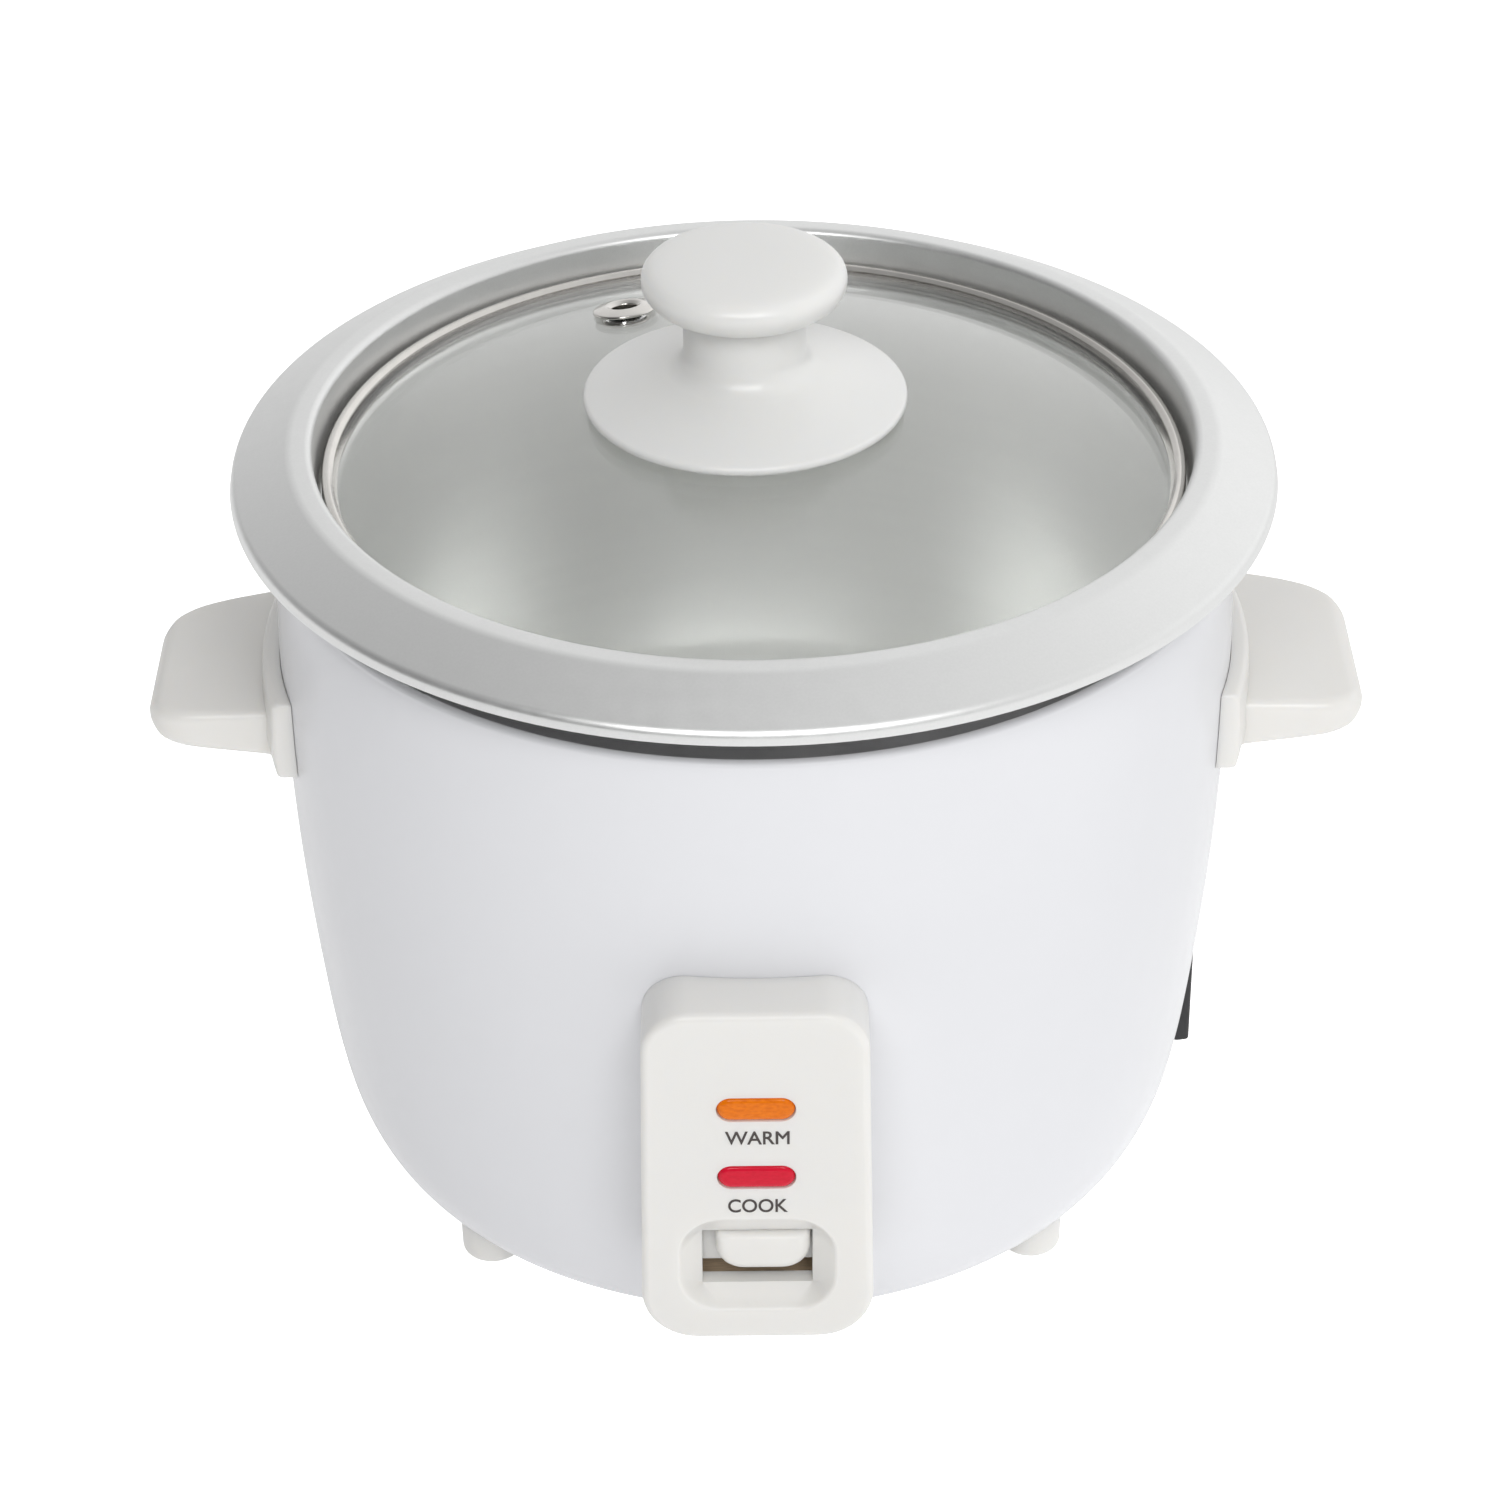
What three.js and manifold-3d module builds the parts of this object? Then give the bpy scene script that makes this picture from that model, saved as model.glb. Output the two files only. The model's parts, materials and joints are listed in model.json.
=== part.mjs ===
// A small drum rice cooker: a painted steel shell with a lift-out aluminium pot, a domed glass lid,
// a magnetic cook switch and all the pieces inside that make it work.
// Millimetres, +Z up, the switch housing faces -Y. Heights are above the surface the feet stand on.

import * as THREE from 'three';
import { mergeVertices } from 'three/addons/utils/BufferGeometryUtils.js';
import Module from 'manifold-3d';

const wasm = await Module();
wasm.setup();

// ---- Driving dimensions ----

const GAP = 0.3; // left between pieces that touch
const ROUND = 36; // facets round the large turned parts
const MEDIUM = 20; // facets round the middle-sized ones
const SMALL = 12; // facets round pins, screws and bosses

const SHELL_WALL = 0.8;
const SHELL_FLANGE_RADIUS = 62; // inner edge of the turned-in bottom
const SHELL_FLANGE_Z = 5.6;

const POT_WALL = 1.2;
const POT_RADIUS = 81.9;
const POT_BOTTOM = 48;
const POT_CORNER = 19.5;
const BRIM_RADIUS = 102.8;
const BRIM_EDGE_Z = 156.8;
const BRIM_CREST_Z = 165.4;
const LEDGE_Z = 154.4;

const RING_RADIUS = 84.9;
const RING_BOTTOM = LEDGE_Z + GAP;
const RING_TOP = 160;
const GLASS_RADIUS = 83.8;
const GLASS_THICKNESS = 3.2;
const GLASS_EDGE_Z = 158.7; // upper surface at the rim
const DOME_RADIUS = 249.2;
const VENT_RADIUS = 52.2; // distance of the steam vent from the axis
const VENT_ANGLE = THREE.MathUtils.degToRad(119.8);

const KNOB_TOP = 201.8;
const KNOB_SEAT_Z = 173.2;
const KNOB_BORE = 2.6;
const KNOB_BORE_TOP = 187;

const PLATE_TOP = POT_BOTTOM - GAP;
const PLATE_BOTTOM = 42;
const CHAMBER_RADIUS = 84;
const CHAMBER_WALL = 0.8;
const CHAMBER_BOTTOM = 38;
const CHAMBER_CORNER = 12;
const CHAMBER_HOLE = 44;

const HOUSING_FRONT = -107.3;
const HOUSING_TOP = 100.7;
const HOUSING_BOTTOM = 23.3;
const HOUSING_WIDTH_TOP = 42.2;
const HOUSING_WIDTH_BOTTOM = 44.8;
const HOUSING_WALL = 2.3;
const RECESS_DEPTH = 4.4;
const RECESS_Z = 41.6; // middle of the finger recess
const WINDOW = { x: 10.6, bottom: 34, top: 46.9 };

const LENS_FRONT = -107.7;
const LENS_WIDTH = 14.7;
const LENS_HEIGHT = 5.3;
const WARM_Z = 79.1;
const COOK_Z = 63.1;

const PIVOT = { y: -80, z: 31 }; // the cook lever turns about this line, along X
const LEVER_STEM_Z = 41.5;
const ARM_THICKNESS = 1.4;
const PIN_RADIUS = 1.5;

const HANDLE_REACH = 121.2;
const HANDLE_TOP = 112.8;
const HANDLE_FRONT = -21.4;
const HANDLE_BACK = { right_handle: 26.6, left_handle: 22.4 }; // where the back edge nears the tip
const BRACKET = { radius: 99.1, front: -28.5, back: 37, bottom: 101.9, top: 119.3 };

const FOOT = { x: 55.5, y: 50, radius: 6.4 };
const COVER_RADIUS = 68;

const INLET = { face: 90.6, half: 14.5, bottom: 13.2, top: 36.5 };
const INLET_TURN = THREE.MathUtils.degToRad(9.5); // from +X, round towards the back

// ---- Solids ----

function toSolid(geometry) {
  const bare = new THREE.BufferGeometry();
  bare.setAttribute('position', geometry.getAttribute('position'));
  bare.setIndex(geometry.index);
  const merged = mergeVertices(bare, 1e-4);
  const corners = merged.index.array;
  const kept = [];
  for (let i = 0; i < corners.length; i += 3) {
    const [a, b, c] = corners.slice(i, i + 3);
    if (a !== b && b !== c && c !== a) kept.push(a, b, c);
  }
  const vertProperties = Float32Array.from(merged.getAttribute('position').array);
  const triVerts = Uint32Array.from(kept);
  return new wasm.Manifold(new wasm.Mesh({ numProp: 3, vertProperties, triVerts }));
}

function toGeometry(solid) {
  const { vertProperties, triVerts, numProp } = solid.getMesh();
  const geometry = new THREE.BufferGeometry();
  geometry.setAttribute('position', new THREE.BufferAttribute(vertProperties, numProp));
  geometry.setIndex(new THREE.BufferAttribute(triVerts, 1));
  return geometry;
}

function combine(operation, first, others) {
  return toGeometry(others.reduce((solid, other) => solid[operation](toSolid(other)), toSolid(first)));
}

const cut = (body, ...tools) => combine('subtract', body, tools);
const join = (body, ...parts) => combine('add', body, parts);
const overlap = (body, ...others) => combine('intersect', body, others);

// ---- Shapes ----

// A solid of revolution about Z. The profile is [radius, height] pairs, anticlockwise.
function turned(profile, facets = ROUND) {
  const points = profile.map(([r, z]) => new THREE.Vector2(r, z));
  if (points[0].x > 0) points.push(points[0].clone());
  return new THREE.LatheGeometry(points, facets).rotateX(Math.PI / 2);
}

function arc(centreR, centreZ, radius, fromDegrees, toDegrees, steps) {
  return Array.from({ length: steps + 1 }, (_, i) => {
    const angle = THREE.MathUtils.degToRad(fromDegrees + ((toDegrees - fromDegrees) * i) / steps);
    return [centreR + radius * Math.cos(angle), centreZ + radius * Math.sin(angle)];
  });
}

// The same line moved sideways, to the left of its direction.
function offsetLine(points, distance) {
  return points.map(([x, y], i) => {
    const [ax, ay] = points[Math.max(i - 1, 0)];
    const [bx, by] = points[Math.min(i + 1, points.length - 1)];
    const length = Math.hypot(bx - ax, by - ay);
    return [x - ((by - ay) / length) * distance, y + ((bx - ax) / length) * distance];
  });
}

function block(x0, x1, y0, y1, z0, z1) {
  const box = new THREE.BoxGeometry(x1 - x0, y1 - y0, z1 - z0);
  return box.translate((x0 + x1) / 2, (y0 + y1) / 2, (z0 + z1) / 2);
}

function rodZ(radius, z0, z1, x = 0, y = 0, facets = SMALL) {
  const rod = new THREE.CylinderGeometry(radius, radius, z1 - z0, facets).rotateX(Math.PI / 2);
  return rod.translate(x, y, (z0 + z1) / 2);
}

function rodY(radius, y0, y1, x, z, facets = SMALL) {
  return new THREE.CylinderGeometry(radius, radius, y1 - y0, facets).translate(x, (y0 + y1) / 2, z);
}

function rodX(radius, x0, x1, y, z, facets = SMALL) {
  const rod = new THREE.CylinderGeometry(radius, radius, x1 - x0, facets).rotateZ(Math.PI / 2);
  return rod.translate((x0 + x1) / 2, y, z);
}

function roundedRect(x0, x1, y0, y1, radius) {
  const shape = new THREE.Shape();
  shape.absarc(x1 - radius, y0 + radius, radius, -Math.PI / 2, 0);
  shape.absarc(x1 - radius, y1 - radius, radius, 0, Math.PI / 2);
  shape.absarc(x0 + radius, y1 - radius, radius, Math.PI / 2, Math.PI);
  shape.absarc(x0 + radius, y0 + radius, radius, Math.PI, Math.PI * 1.5);
  return shape;
}

function plate(shape, z0, z1, curveSegments = 4) {
  const options = { depth: z1 - z0, bevelEnabled: false, curveSegments };
  return new THREE.ExtrudeGeometry(shape, options).translate(0, 0, z0);
}

// A shape drawn in X and Z, pushed through from y0 to y1.
function slabY(shape, y0, y1, curveSegments = 4) {
  return plate(shape, 0, y1 - y0, curveSegments).rotateX(Math.PI / 2).translate(0, y1, 0);
}

// A shape drawn in Y and Z, pushed through from x0 to x1.
function slabX(points, x0, x1) {
  const shape = new THREE.Shape(points.map(([y, z]) => new THREE.Vector2(y, z)));
  return plate(shape, 0, x1 - x0).rotateY(Math.PI / 2).rotateX(Math.PI / 2).translate(x0, 0, 0);
}

// A flat strip bent along a line in Y and Z.
function bentStrip(line, thickness, x0, x1) {
  const upper = offsetLine(line, thickness / 2);
  const lower = offsetLine(line, -thickness / 2);
  return slabX([...lower, ...upper.reverse()], x0, x1);
}

// A solid between two outlines of equal count, drawn in X and Z, the first at y0 and the second at y1.
function loftY(outlineA, y0, outlineB, y1) {
  const count = outlineA.length;
  const positions = [];
  for (const [outline, y] of [[outlineA, y0], [outlineB, y1]]) {
    for (const point of outline) positions.push(point.x, y, point.y);
  }
  const index = [];
  for (let i = 0; i < count; i += 1) {
    const next = (i + 1) % count;
    index.push(i, count + next, next, i, count + i, count + next);
  }
  for (let i = 1; i < count - 1; i += 1) {
    index.push(0, i, i + 1, count, count + i + 1, count + i);
  }
  const geometry = new THREE.BufferGeometry();
  geometry.setAttribute('position', new THREE.Float32BufferAttribute(positions, 3));
  geometry.setIndex(index);
  return geometry;
}

function wire(curve, radius, steps, sides = 6) {
  const shape = new THREE.Shape();
  shape.absarc(0, 0, radius, 0, Math.PI * 2);
  const options = { extrudePath: curve, steps, bevelEnabled: false, curveSegments: sides / 2 };
  return new THREE.ExtrudeGeometry(shape, options);
}

function lead(points, steps = 12) {
  const curve = new THREE.CatmullRomCurve3(points.map((point) => new THREE.Vector3(...point)));
  return wire(curve, 1.2, steps);
}

class Helix extends THREE.Curve {
  constructor(radius, z0, z1, turns) {
    super();
    Object.assign(this, { radius, z0, z1, turns });
  }

  getPoint(t, target = new THREE.Vector3()) {
    const angle = t * this.turns * Math.PI * 2;
    const z = this.z0 + (this.z1 - this.z0) * t;
    return target.set(this.radius * Math.cos(angle), this.radius * Math.sin(angle), z);
  }
}

// ---- The assembly ----

const cooker = new THREE.Group();
// The box round the whole cooker is centred on the origin; the cooker's own axis is a little behind it.
cooker.position.y = (-LENS_FRONT - BRIM_RADIUS) / 2;

const PAINT = [0xeceef1, 0.28, 0];
const PLASTIC = [0xe6e4de, 0.35, 0];
const ALUMINIUM = [0xbfc1c1, 0.42, 0.9];
const STEEL = [0xb4b4b2, 0.3, 1];
const ZINC = [0x9a9da0, 0.45, 0.9];
const BLACK = [0x222225, 0.4, 0];
const PHENOLIC = [0x8a6f4a, 0.6, 0];
const FERRITE = [0x3c3a3c, 0.7, 0.1];
const SILICONE = [0xd8d4cc, 0.8, 0];

function add(name, geometry, [color, roughness, metalness]) {
  const material = new THREE.MeshStandardMaterial({ color, roughness, metalness });
  const mesh = new THREE.Mesh(geometry, material);
  mesh.name = name;
  cooker.add(mesh);
  return mesh;
}

// ---- Shell ----

// Outside of the shell from the flat bottom to just under the rolled rim.
const SHELL_SIDE = new THREE.SplineCurve([
  [72, SHELL_FLANGE_Z],
  [79.2, 7.4],
  [83.4, 11.4],
  [86.7, 18.4],
  [89, 28],
  [91.2, 44],
  [94, 74],
  [95.3, 102],
  [95.5, 124],
  [94.7, 142],
  [94.25, 146.2],
].map(([r, z]) => new THREE.Vector2(r, z))).getPoints(10).map(({ x, y }) => [x, y]);

function shellProfile() {
  const outside = [[SHELL_FLANGE_RADIUS, SHELL_FLANGE_Z], ...SHELL_SIDE];
  const inside = offsetLine(outside.slice(0, -1), SHELL_WALL);
  const rim = arc(93, 146.15, 1.25, 30, 180, 4);
  return [...outside, ...rim, [91.75, 144.8], ...inside.reverse()];
}

// Everything the shell encloses, grown by a gap: cut from what sits against the outside.
function shellSpace() {
  const grown = offsetLine(SHELL_SIDE, -GAP);
  return turned([[0, grown[0][1]], ...grown, [0, grown.at(-1)[1]]]);
}

// The radius of the shell's outside at a height.
function shellRadius(height) {
  const above = SHELL_SIDE.findIndex(([, z]) => z >= height);
  const [r0, z0] = SHELL_SIDE[above - 1];
  const [r1, z1] = SHELL_SIDE[above];
  return r0 + ((r1 - r0) * (height - z0)) / (z1 - z0);
}

const HOUSING_SCREWS = [
  { name: 'left', x: -16, z: 33 },
  { name: 'right', x: 16, z: 33 },
];
const HANDLE_SCREW = { y: 15, z: 108 };
const FEET = [[-1, -1], [1, -1], [1, 1], [-1, 1]];

function outerShell() {
  const openings = [
    block(-12.5, 12.5, -100, -70, 26, 60),
    inletSpace(),
    ...HOUSING_SCREWS.map(({ x, z }) => rodY(1.9, -110, -70, x, z)),
    ...FEET.map(([x, y]) => rodZ(1.9, 0, 12, x * FOOT.x, y * FOOT.y)),
    ...[-1, 1].map((side) => rodX(1.9, -110, 110, side * HANDLE_SCREW.y, HANDLE_SCREW.z)),
  ];
  add('outer_shell', cut(turned(shellProfile()), ...openings), PAINT);
}

function bottomCover() {
  const disc = rodZ(COVER_RADIUS, 4.2, 5.2, 0, 0, ROUND);
  const slots = Array.from({ length: 6 }, (_, i) => {
    const slot = block(24, 44, -1.6, 1.6, 0, 10);
    return slot.rotateZ((Math.PI * 2 * (i + 0.5)) / 6);
  });
  add('bottom_cover', cut(disc, ...slots), ZINC);
}

// A round foot under the turned-in edge of the shell, with a rib that runs in towards the middle.
function feet() {
  FEET.forEach(([sideX, sideY], i) => {
    const x = sideX * FOOT.x;
    const y = sideY * FOOT.y;
    const rib = slabX([[-16, 3.6], [-4, 0.6], [0, 0.6], [0, 3.9], [-16, 3.9]], -2.5, 2.5);
    rib.rotateZ(Math.atan2(y, x) - Math.PI / 2).translate(x, y, 0);
    const post = cut(rodZ(FOOT.radius, 0, 14, x, y, 20), shellSpace());
    const foot = cut(join(post, rib), rodZ(3.4, -1, 3.5, x, y), rodZ(1.8, 3, 20, x, y));
    add(`foot_${i + 1}`, foot, PLASTIC);
    const screw = join(rodZ(3, 1.2, 3.2, x, y), rodZ(1.4, 3, 9.5, x, y, 10));
    add(`foot_screw_${i + 1}`, screw, ZINC);
  });
}

// ---- Heating ----

function heatChamber() {
  const outer = arc(72, CHAMBER_BOTTOM + CHAMBER_CORNER, CHAMBER_CORNER, -90, 0, 4);
  const inner = arc(72, CHAMBER_BOTTOM + CHAMBER_CORNER, CHAMBER_CORNER - CHAMBER_WALL, 0, -90, 4);
  const rimZ = 145.2;
  const profile = [
    [CHAMBER_HOLE, CHAMBER_BOTTOM],
    ...outer,
    [CHAMBER_RADIUS, rimZ],
    [91.2, rimZ],
    [91.2, rimZ + CHAMBER_WALL],
    [CHAMBER_RADIUS - CHAMBER_WALL, rimZ + CHAMBER_WALL],
    ...inner,
    [CHAMBER_HOLE, CHAMBER_BOTTOM + CHAMBER_WALL],
  ];
  add('heat_chamber', turned(profile), ALUMINIUM);
}

function hotPlate() {
  const profile = [
    [16, PLATE_BOTTOM],
    [59, PLATE_BOTTOM],
    [61.5, PLATE_BOTTOM + 1.5],
    [61.5, PLATE_TOP - 1],
    [60.5, PLATE_TOP],
    [16, PLATE_TOP],
  ];
  add('hot_plate', turned(profile), ALUMINIUM);
}

function plateSpacers() {
  [90, 210, 330].forEach((degrees, i) => {
    const angle = THREE.MathUtils.degToRad(degrees);
    const x = 54 * Math.cos(angle);
    const y = 54 * Math.sin(angle);
    const bottom = CHAMBER_BOTTOM + CHAMBER_WALL + GAP;
    add(`plate_spacer_${i + 1}`, rodZ(4, bottom, PLATE_BOTTOM - GAP, x, y), STEEL);
  });
}

const ELEMENT = { radius: 36, tube: 3, z: 38.6, fromDegrees: 105, toDegrees: 435 };

function elementEnd(degrees) {
  const angle = THREE.MathUtils.degToRad(degrees);
  return [ELEMENT.radius * Math.cos(angle), ELEMENT.radius * Math.sin(angle), ELEMENT.z - ELEMENT.tube - 2];
}

function heatingElement() {
  const points = arc(0, 0, ELEMENT.radius, ELEMENT.fromDegrees, ELEMENT.toDegrees, 24);
  const curve = new THREE.CatmullRomCurve3(points.map(([x, y]) => new THREE.Vector3(x, y, ELEMENT.z)));
  add('heating_element', wire(curve, ELEMENT.tube, 24, 8), STEEL);
}

// ---- Thermostat: a sprung cap that feels the pot, with a magnet that slides inside its tube ----

function thermostat() {
  const cap = [
    [0, PLATE_TOP - 1.2],
    [14, PLATE_TOP - 1.2],
    [14, 38.7],
    [15, 38.7],
    [15, PLATE_TOP - 0.8],
    [14.2, PLATE_TOP],
    [0, PLATE_TOP],
  ];
  add('sensor_cap', turned(cap, MEDIUM), ALUMINIUM);
  add('sensor_tube', turned([[9.7, 22], [10.5, 22], [10.5, 46.2], [9.7, 46.2]], MEDIUM), STEEL);
  add('fixed_ferrite', rodZ(9.3, 42.4, 46.2, 0, 0, MEDIUM), FERRITE);
  add('sensor_spring', wire(new Helix(12.6, 31.3, 45.6, 4), 0.6, 36, 4), STEEL);
  add('plunger_magnet', turned([[2.3, 25], [9.3, 25], [9.3, 30], [2.3, 30]], MEDIUM), FERRITE);
  const rod = join(rodZ(4, 9.5, 11), rodZ(2, 10.5, 30.6), rodZ(3.4, 30.3, 30.9));
  add('plunger_rod', rod, STEEL);
  add('magnet_spring', wire(new Helix(6.2, 30.8, 41.6, 4), 0.45, 36, 4), STEEL);
}

function sensorBracket() {
  const deck = block(-31, 31, -14.5, 14.5, 29, 30.3);
  const legs = [-1, 1].map((side) => {
    const leg = block(29.7, 31, -6, 6, 29.2, PLATE_BOTTOM - GAP);
    return side > 0 ? leg : leg.rotateZ(Math.PI);
  });
  const well = rodZ(10.5 + 2 * GAP, 20, 40, 0, 0, MEDIUM);
  add('sensor_bracket', cut(join(deck, ...legs), well), ZINC);
}

// ---- Switch ----

function switchBracket() {
  const top = CHAMBER_BOTTOM - GAP;
  const deck = cut(block(-8, 8, -83.5, -52, top - 1.2, top), block(-5.2, 5.2, -90, -72, 30, 40));
  const ears = [block(-6.5, -5.2, -83.5, -76.5, 27, top), block(5.2, 6.5, -83.5, -76.5, 27, top)];
  const bore = rodX(PIN_RADIUS + GAP, -20, 20, PIVOT.y, PIVOT.z);
  add('switch_bracket', cut(join(deck, ...ears), bore), ZINC);
}

function leverPin() {
  const shank = rodX(PIN_RADIUS, -8.4, 8.4, PIVOT.y, PIVOT.z);
  add('lever_pin', join(shank, rodX(2.6, -8.4, -7, PIVOT.y, PIVOT.z)), STEEL);
}

function cookLever() {
  const paddle = slabY(roundedRect(-8, 10.2, 37.3, 46.6, 3.9), -104.4, -99.4);
  const stem = block(-3.5, 3.5, -100, -86, LEVER_STEM_Z, 45);
  add('cook_lever', join(paddle, stem), PLASTIC);

  const arm = bentStrip([[-97, 40.5], [-84, 40.5], [-79, 27.5], [-66, 7.8], [4.5, 7.8]], ARM_THICKNESS, -4.5, 4.5);
  const sleeve = rodX(3.6, -4.5, 4.5, PIVOT.y, PIVOT.z);
  const bore = rodX(PIN_RADIUS + GAP, -10, 10, PIVOT.y, PIVOT.z);
  add('lever_arm', cut(join(arm, sleeve), bore), ZINC);
}

function contactSwitch() {
  const y = -92.6;
  const body = block(-11.5, 11.5, -96.2, -90.4, 26.6, 35);
  add('contact_block', cut(body, rodZ(1.8, 28, 40, 0, y)), PHENOLIC);
  add('contact_button', rodZ(1.5, 30.2, 39.5, 0, y), PLASTIC);
}

// ---- Switch housing ----

function housingOutline(inset, bottom, top, radius) {
  const halfTop = HOUSING_WIDTH_TOP / 2 - inset;
  const halfBottom = HOUSING_WIDTH_BOTTOM / 2 - inset;
  const shape = new THREE.Shape();
  shape.absarc(halfBottom - radius, bottom + radius, radius, -Math.PI / 2, 0);
  shape.absarc(halfTop - radius, top - radius, radius, 0, Math.PI / 2);
  shape.absarc(radius - halfTop, top - radius, radius, Math.PI / 2, Math.PI);
  shape.absarc(radius - halfBottom, bottom + radius, radius, Math.PI, Math.PI * 1.5);
  return shape;
}

function lensSlot(z, grow) {
  const halfWidth = LENS_WIDTH / 2 + grow;
  const halfHeight = LENS_HEIGHT / 2 + grow;
  return roundedRect(-halfWidth, halfWidth, z - halfHeight, z + halfHeight, halfHeight - 0.01);
}

function switchHousing() {
  const body = slabY(housingOutline(0, HOUSING_BOTTOM, HOUSING_TOP, 9), HOUSING_FRONT, -70, 6);
  const inside = housingOutline(HOUSING_WALL, HOUSING_BOTTOM + HOUSING_WALL, HOUSING_TOP - HOUSING_WALL, 6.5);
  const pocketFront = HOUSING_FRONT + HOUSING_WALL;
  const recessBack = HOUSING_FRONT + RECESS_DEPTH + 3.2;
  const thickening = block(-19, 19, pocketFront - 1, recessBack, 27, 56);
  const bosses = HOUSING_SCREWS.map(({ x, z }) => rodY(3, pocketFront - 1, -70, x, z));
  const pocket = cut(slabY(inside, pocketFront, -60), thickening, ...bosses);

  const mouth = roundedRect(-14.8, 14.8, RECESS_Z - 11, RECESS_Z + 11, 8).getPoints(4).slice(0, -1);
  const floor = roundedRect(-10.7, 10.7, WINDOW.bottom - 0.1, WINDOW.top + 0.1, 0.3).getPoints(4).slice(0, -1);
  const recess = loftY(mouth, HOUSING_FRONT - 0.01, floor, HOUSING_FRONT + RECESS_DEPTH);
  const window = block(-WINDOW.x, WINDOW.x, HOUSING_FRONT + 3, -90, WINDOW.bottom, WINDOW.top);

  const slots = [WARM_Z, COOK_Z].map((z) => slabY(lensSlot(z, GAP), HOUSING_FRONT - 2, -100));
  const bores = HOUSING_SCREWS.map(({ x, z }) => rodY(1.7, -98.5, -70, x, z, 10));
  const housing = cut(body, shellSpace(), pocket, recess, window, ...slots, ...bores);
  add('switch_housing', housing, PLASTIC);
}

function housingScrews() {
  for (const { name, x, z } of HOUSING_SCREWS) {
    const inner = shellRadius(z) - SHELL_WALL;
    const seat = -Math.sqrt(inner ** 2 - (Math.abs(x) + 3) ** 2) + 0.4;
    const screw = join(rodY(3, seat, seat + 2, x, z), rodY(1.3, -98, seat + 0.5, x, z, 10));
    add(`housing_screw_${name}`, screw, ZINC);
  }
}

function lamps() {
  const wallBack = HOUSING_FRONT + HOUSING_WALL;
  const lights = [['warm', WARM_Z, [0xe87a12, 0.2, 0]], ['cook', COOK_Z, [0xcc2038, 0.2, 0]]];
  for (const [name, z, finish] of lights) {
    const front = slabY(lensSlot(z, 0), LENS_FRONT, wallBack + 1);
    const rim = slabY(lensSlot(z, 1.6), wallBack + GAP, wallBack + 1.5);
    add(`${name}_lens`, join(front, rim), finish);
    add(`${name}_lamp`, rodX(2.1, -6, 6, -100.6, z, 12), [0xe8d8c8, 0.1, 0]);
  }
  add('lamp_holder', block(-9, 9, -98.1, -96.7, 55, 87), PHENOLIC);
}

// ---- Handles ----

function handle(name, side) {
  const { radius, front, back, bottom, top } = BRACKET;
  const band = overlap(rodZ(radius, bottom, top, 0, 0, ROUND), block(70, 110, front, back, bottom, top));

  const far = HANDLE_BACK[name];
  const plan = new THREE.Shape();
  plan.moveTo(80, HANDLE_FRONT);
  plan.lineTo(HANDLE_REACH - 8, HANDLE_FRONT);
  plan.quadraticCurveTo(HANDLE_REACH, HANDLE_FRONT, HANDLE_REACH, HANDLE_FRONT + 8);
  plan.lineTo(HANDLE_REACH - 0.6, far - 9);
  plan.quadraticCurveTo(HANDLE_REACH - 1.7, far - 3, HANDLE_REACH - 7.2, far);
  plan.lineTo(99, far + 6.6);
  plan.lineTo(80, far + 6.6);
  const profile = new THREE.Shape();
  profile.moveTo(80, HANDLE_TOP);
  profile.lineTo(80, 102.2);
  profile.lineTo(98, 102.7);
  profile.lineTo(HANDLE_REACH - 3, 105.4);
  profile.quadraticCurveTo(HANDLE_REACH, 106, HANDLE_REACH, 108.6);
  profile.quadraticCurveTo(HANDLE_REACH, HANDLE_TOP, HANDLE_REACH - 3, HANDLE_TOP);
  const grip = overlap(plate(plan, 90, 120), slabY(profile, -40, 40));

  const bores = [-1, 1].map((s) => rodX(1.8, 70, 105, s * HANDLE_SCREW.y, HANDLE_SCREW.z, 10));
  const solid = toSolid(cut(join(band, grip), shellSpace(), ...bores));
  add(name, toGeometry(side > 0 ? solid : solid.mirror([1, 0, 0])), PLASTIC);
}

function handleScrews() {
  const inner = shellRadius(HANDLE_SCREW.z) - SHELL_WALL;
  const seat = Math.sqrt(inner ** 2 - (HANDLE_SCREW.y + 3) ** 2) - 0.4;
  for (const [name, turn] of [['right', 0], ['left', Math.PI]]) {
    [-1, 1].forEach((side, i) => {
      const y = side * HANDLE_SCREW.y;
      const head = rodX(3, seat - 2, seat, y, HANDLE_SCREW.z);
      const screw = join(head, rodX(1.4, seat - 0.5, 104, y, HANDLE_SCREW.z, 10));
      add(`handle_screw_${name}_${i + 1}`, screw.rotateZ(turn), ZINC);
    });
  }
}

// ---- Power inlet and internal wiring ----

// Name, then the middle in Y and Z. The inlet is drawn facing +X and then turned to its place.
const INLET_PINS = [['live', -7, 22.6], ['neutral', 7, 22.6], ['earth', 0, 28.6]];
const PIN_BACK = 67;

function inletSpace() {
  const half = INLET.half - GAP;
  return block(60, 110, -half, half, INLET.bottom + 0.9, INLET.top - 1).rotateZ(INLET_TURN);
}

// Where a pin's tail ends, inside the shell.
function pinTail(y, z) {
  const tail = new THREE.Vector3(PIN_BACK - 0.6, y, z);
  return tail.applyAxisAngle(new THREE.Vector3(0, 0, 1), INLET_TURN).toArray();
}

function inletBlade(y, z, grow, x0, x1) {
  const blade = block(x0, x1, y - 1 - grow, y + 1 + grow, z - 2 - grow, z + 2 + grow);
  return blade.rotateZ(INLET_TURN);
}

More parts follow.
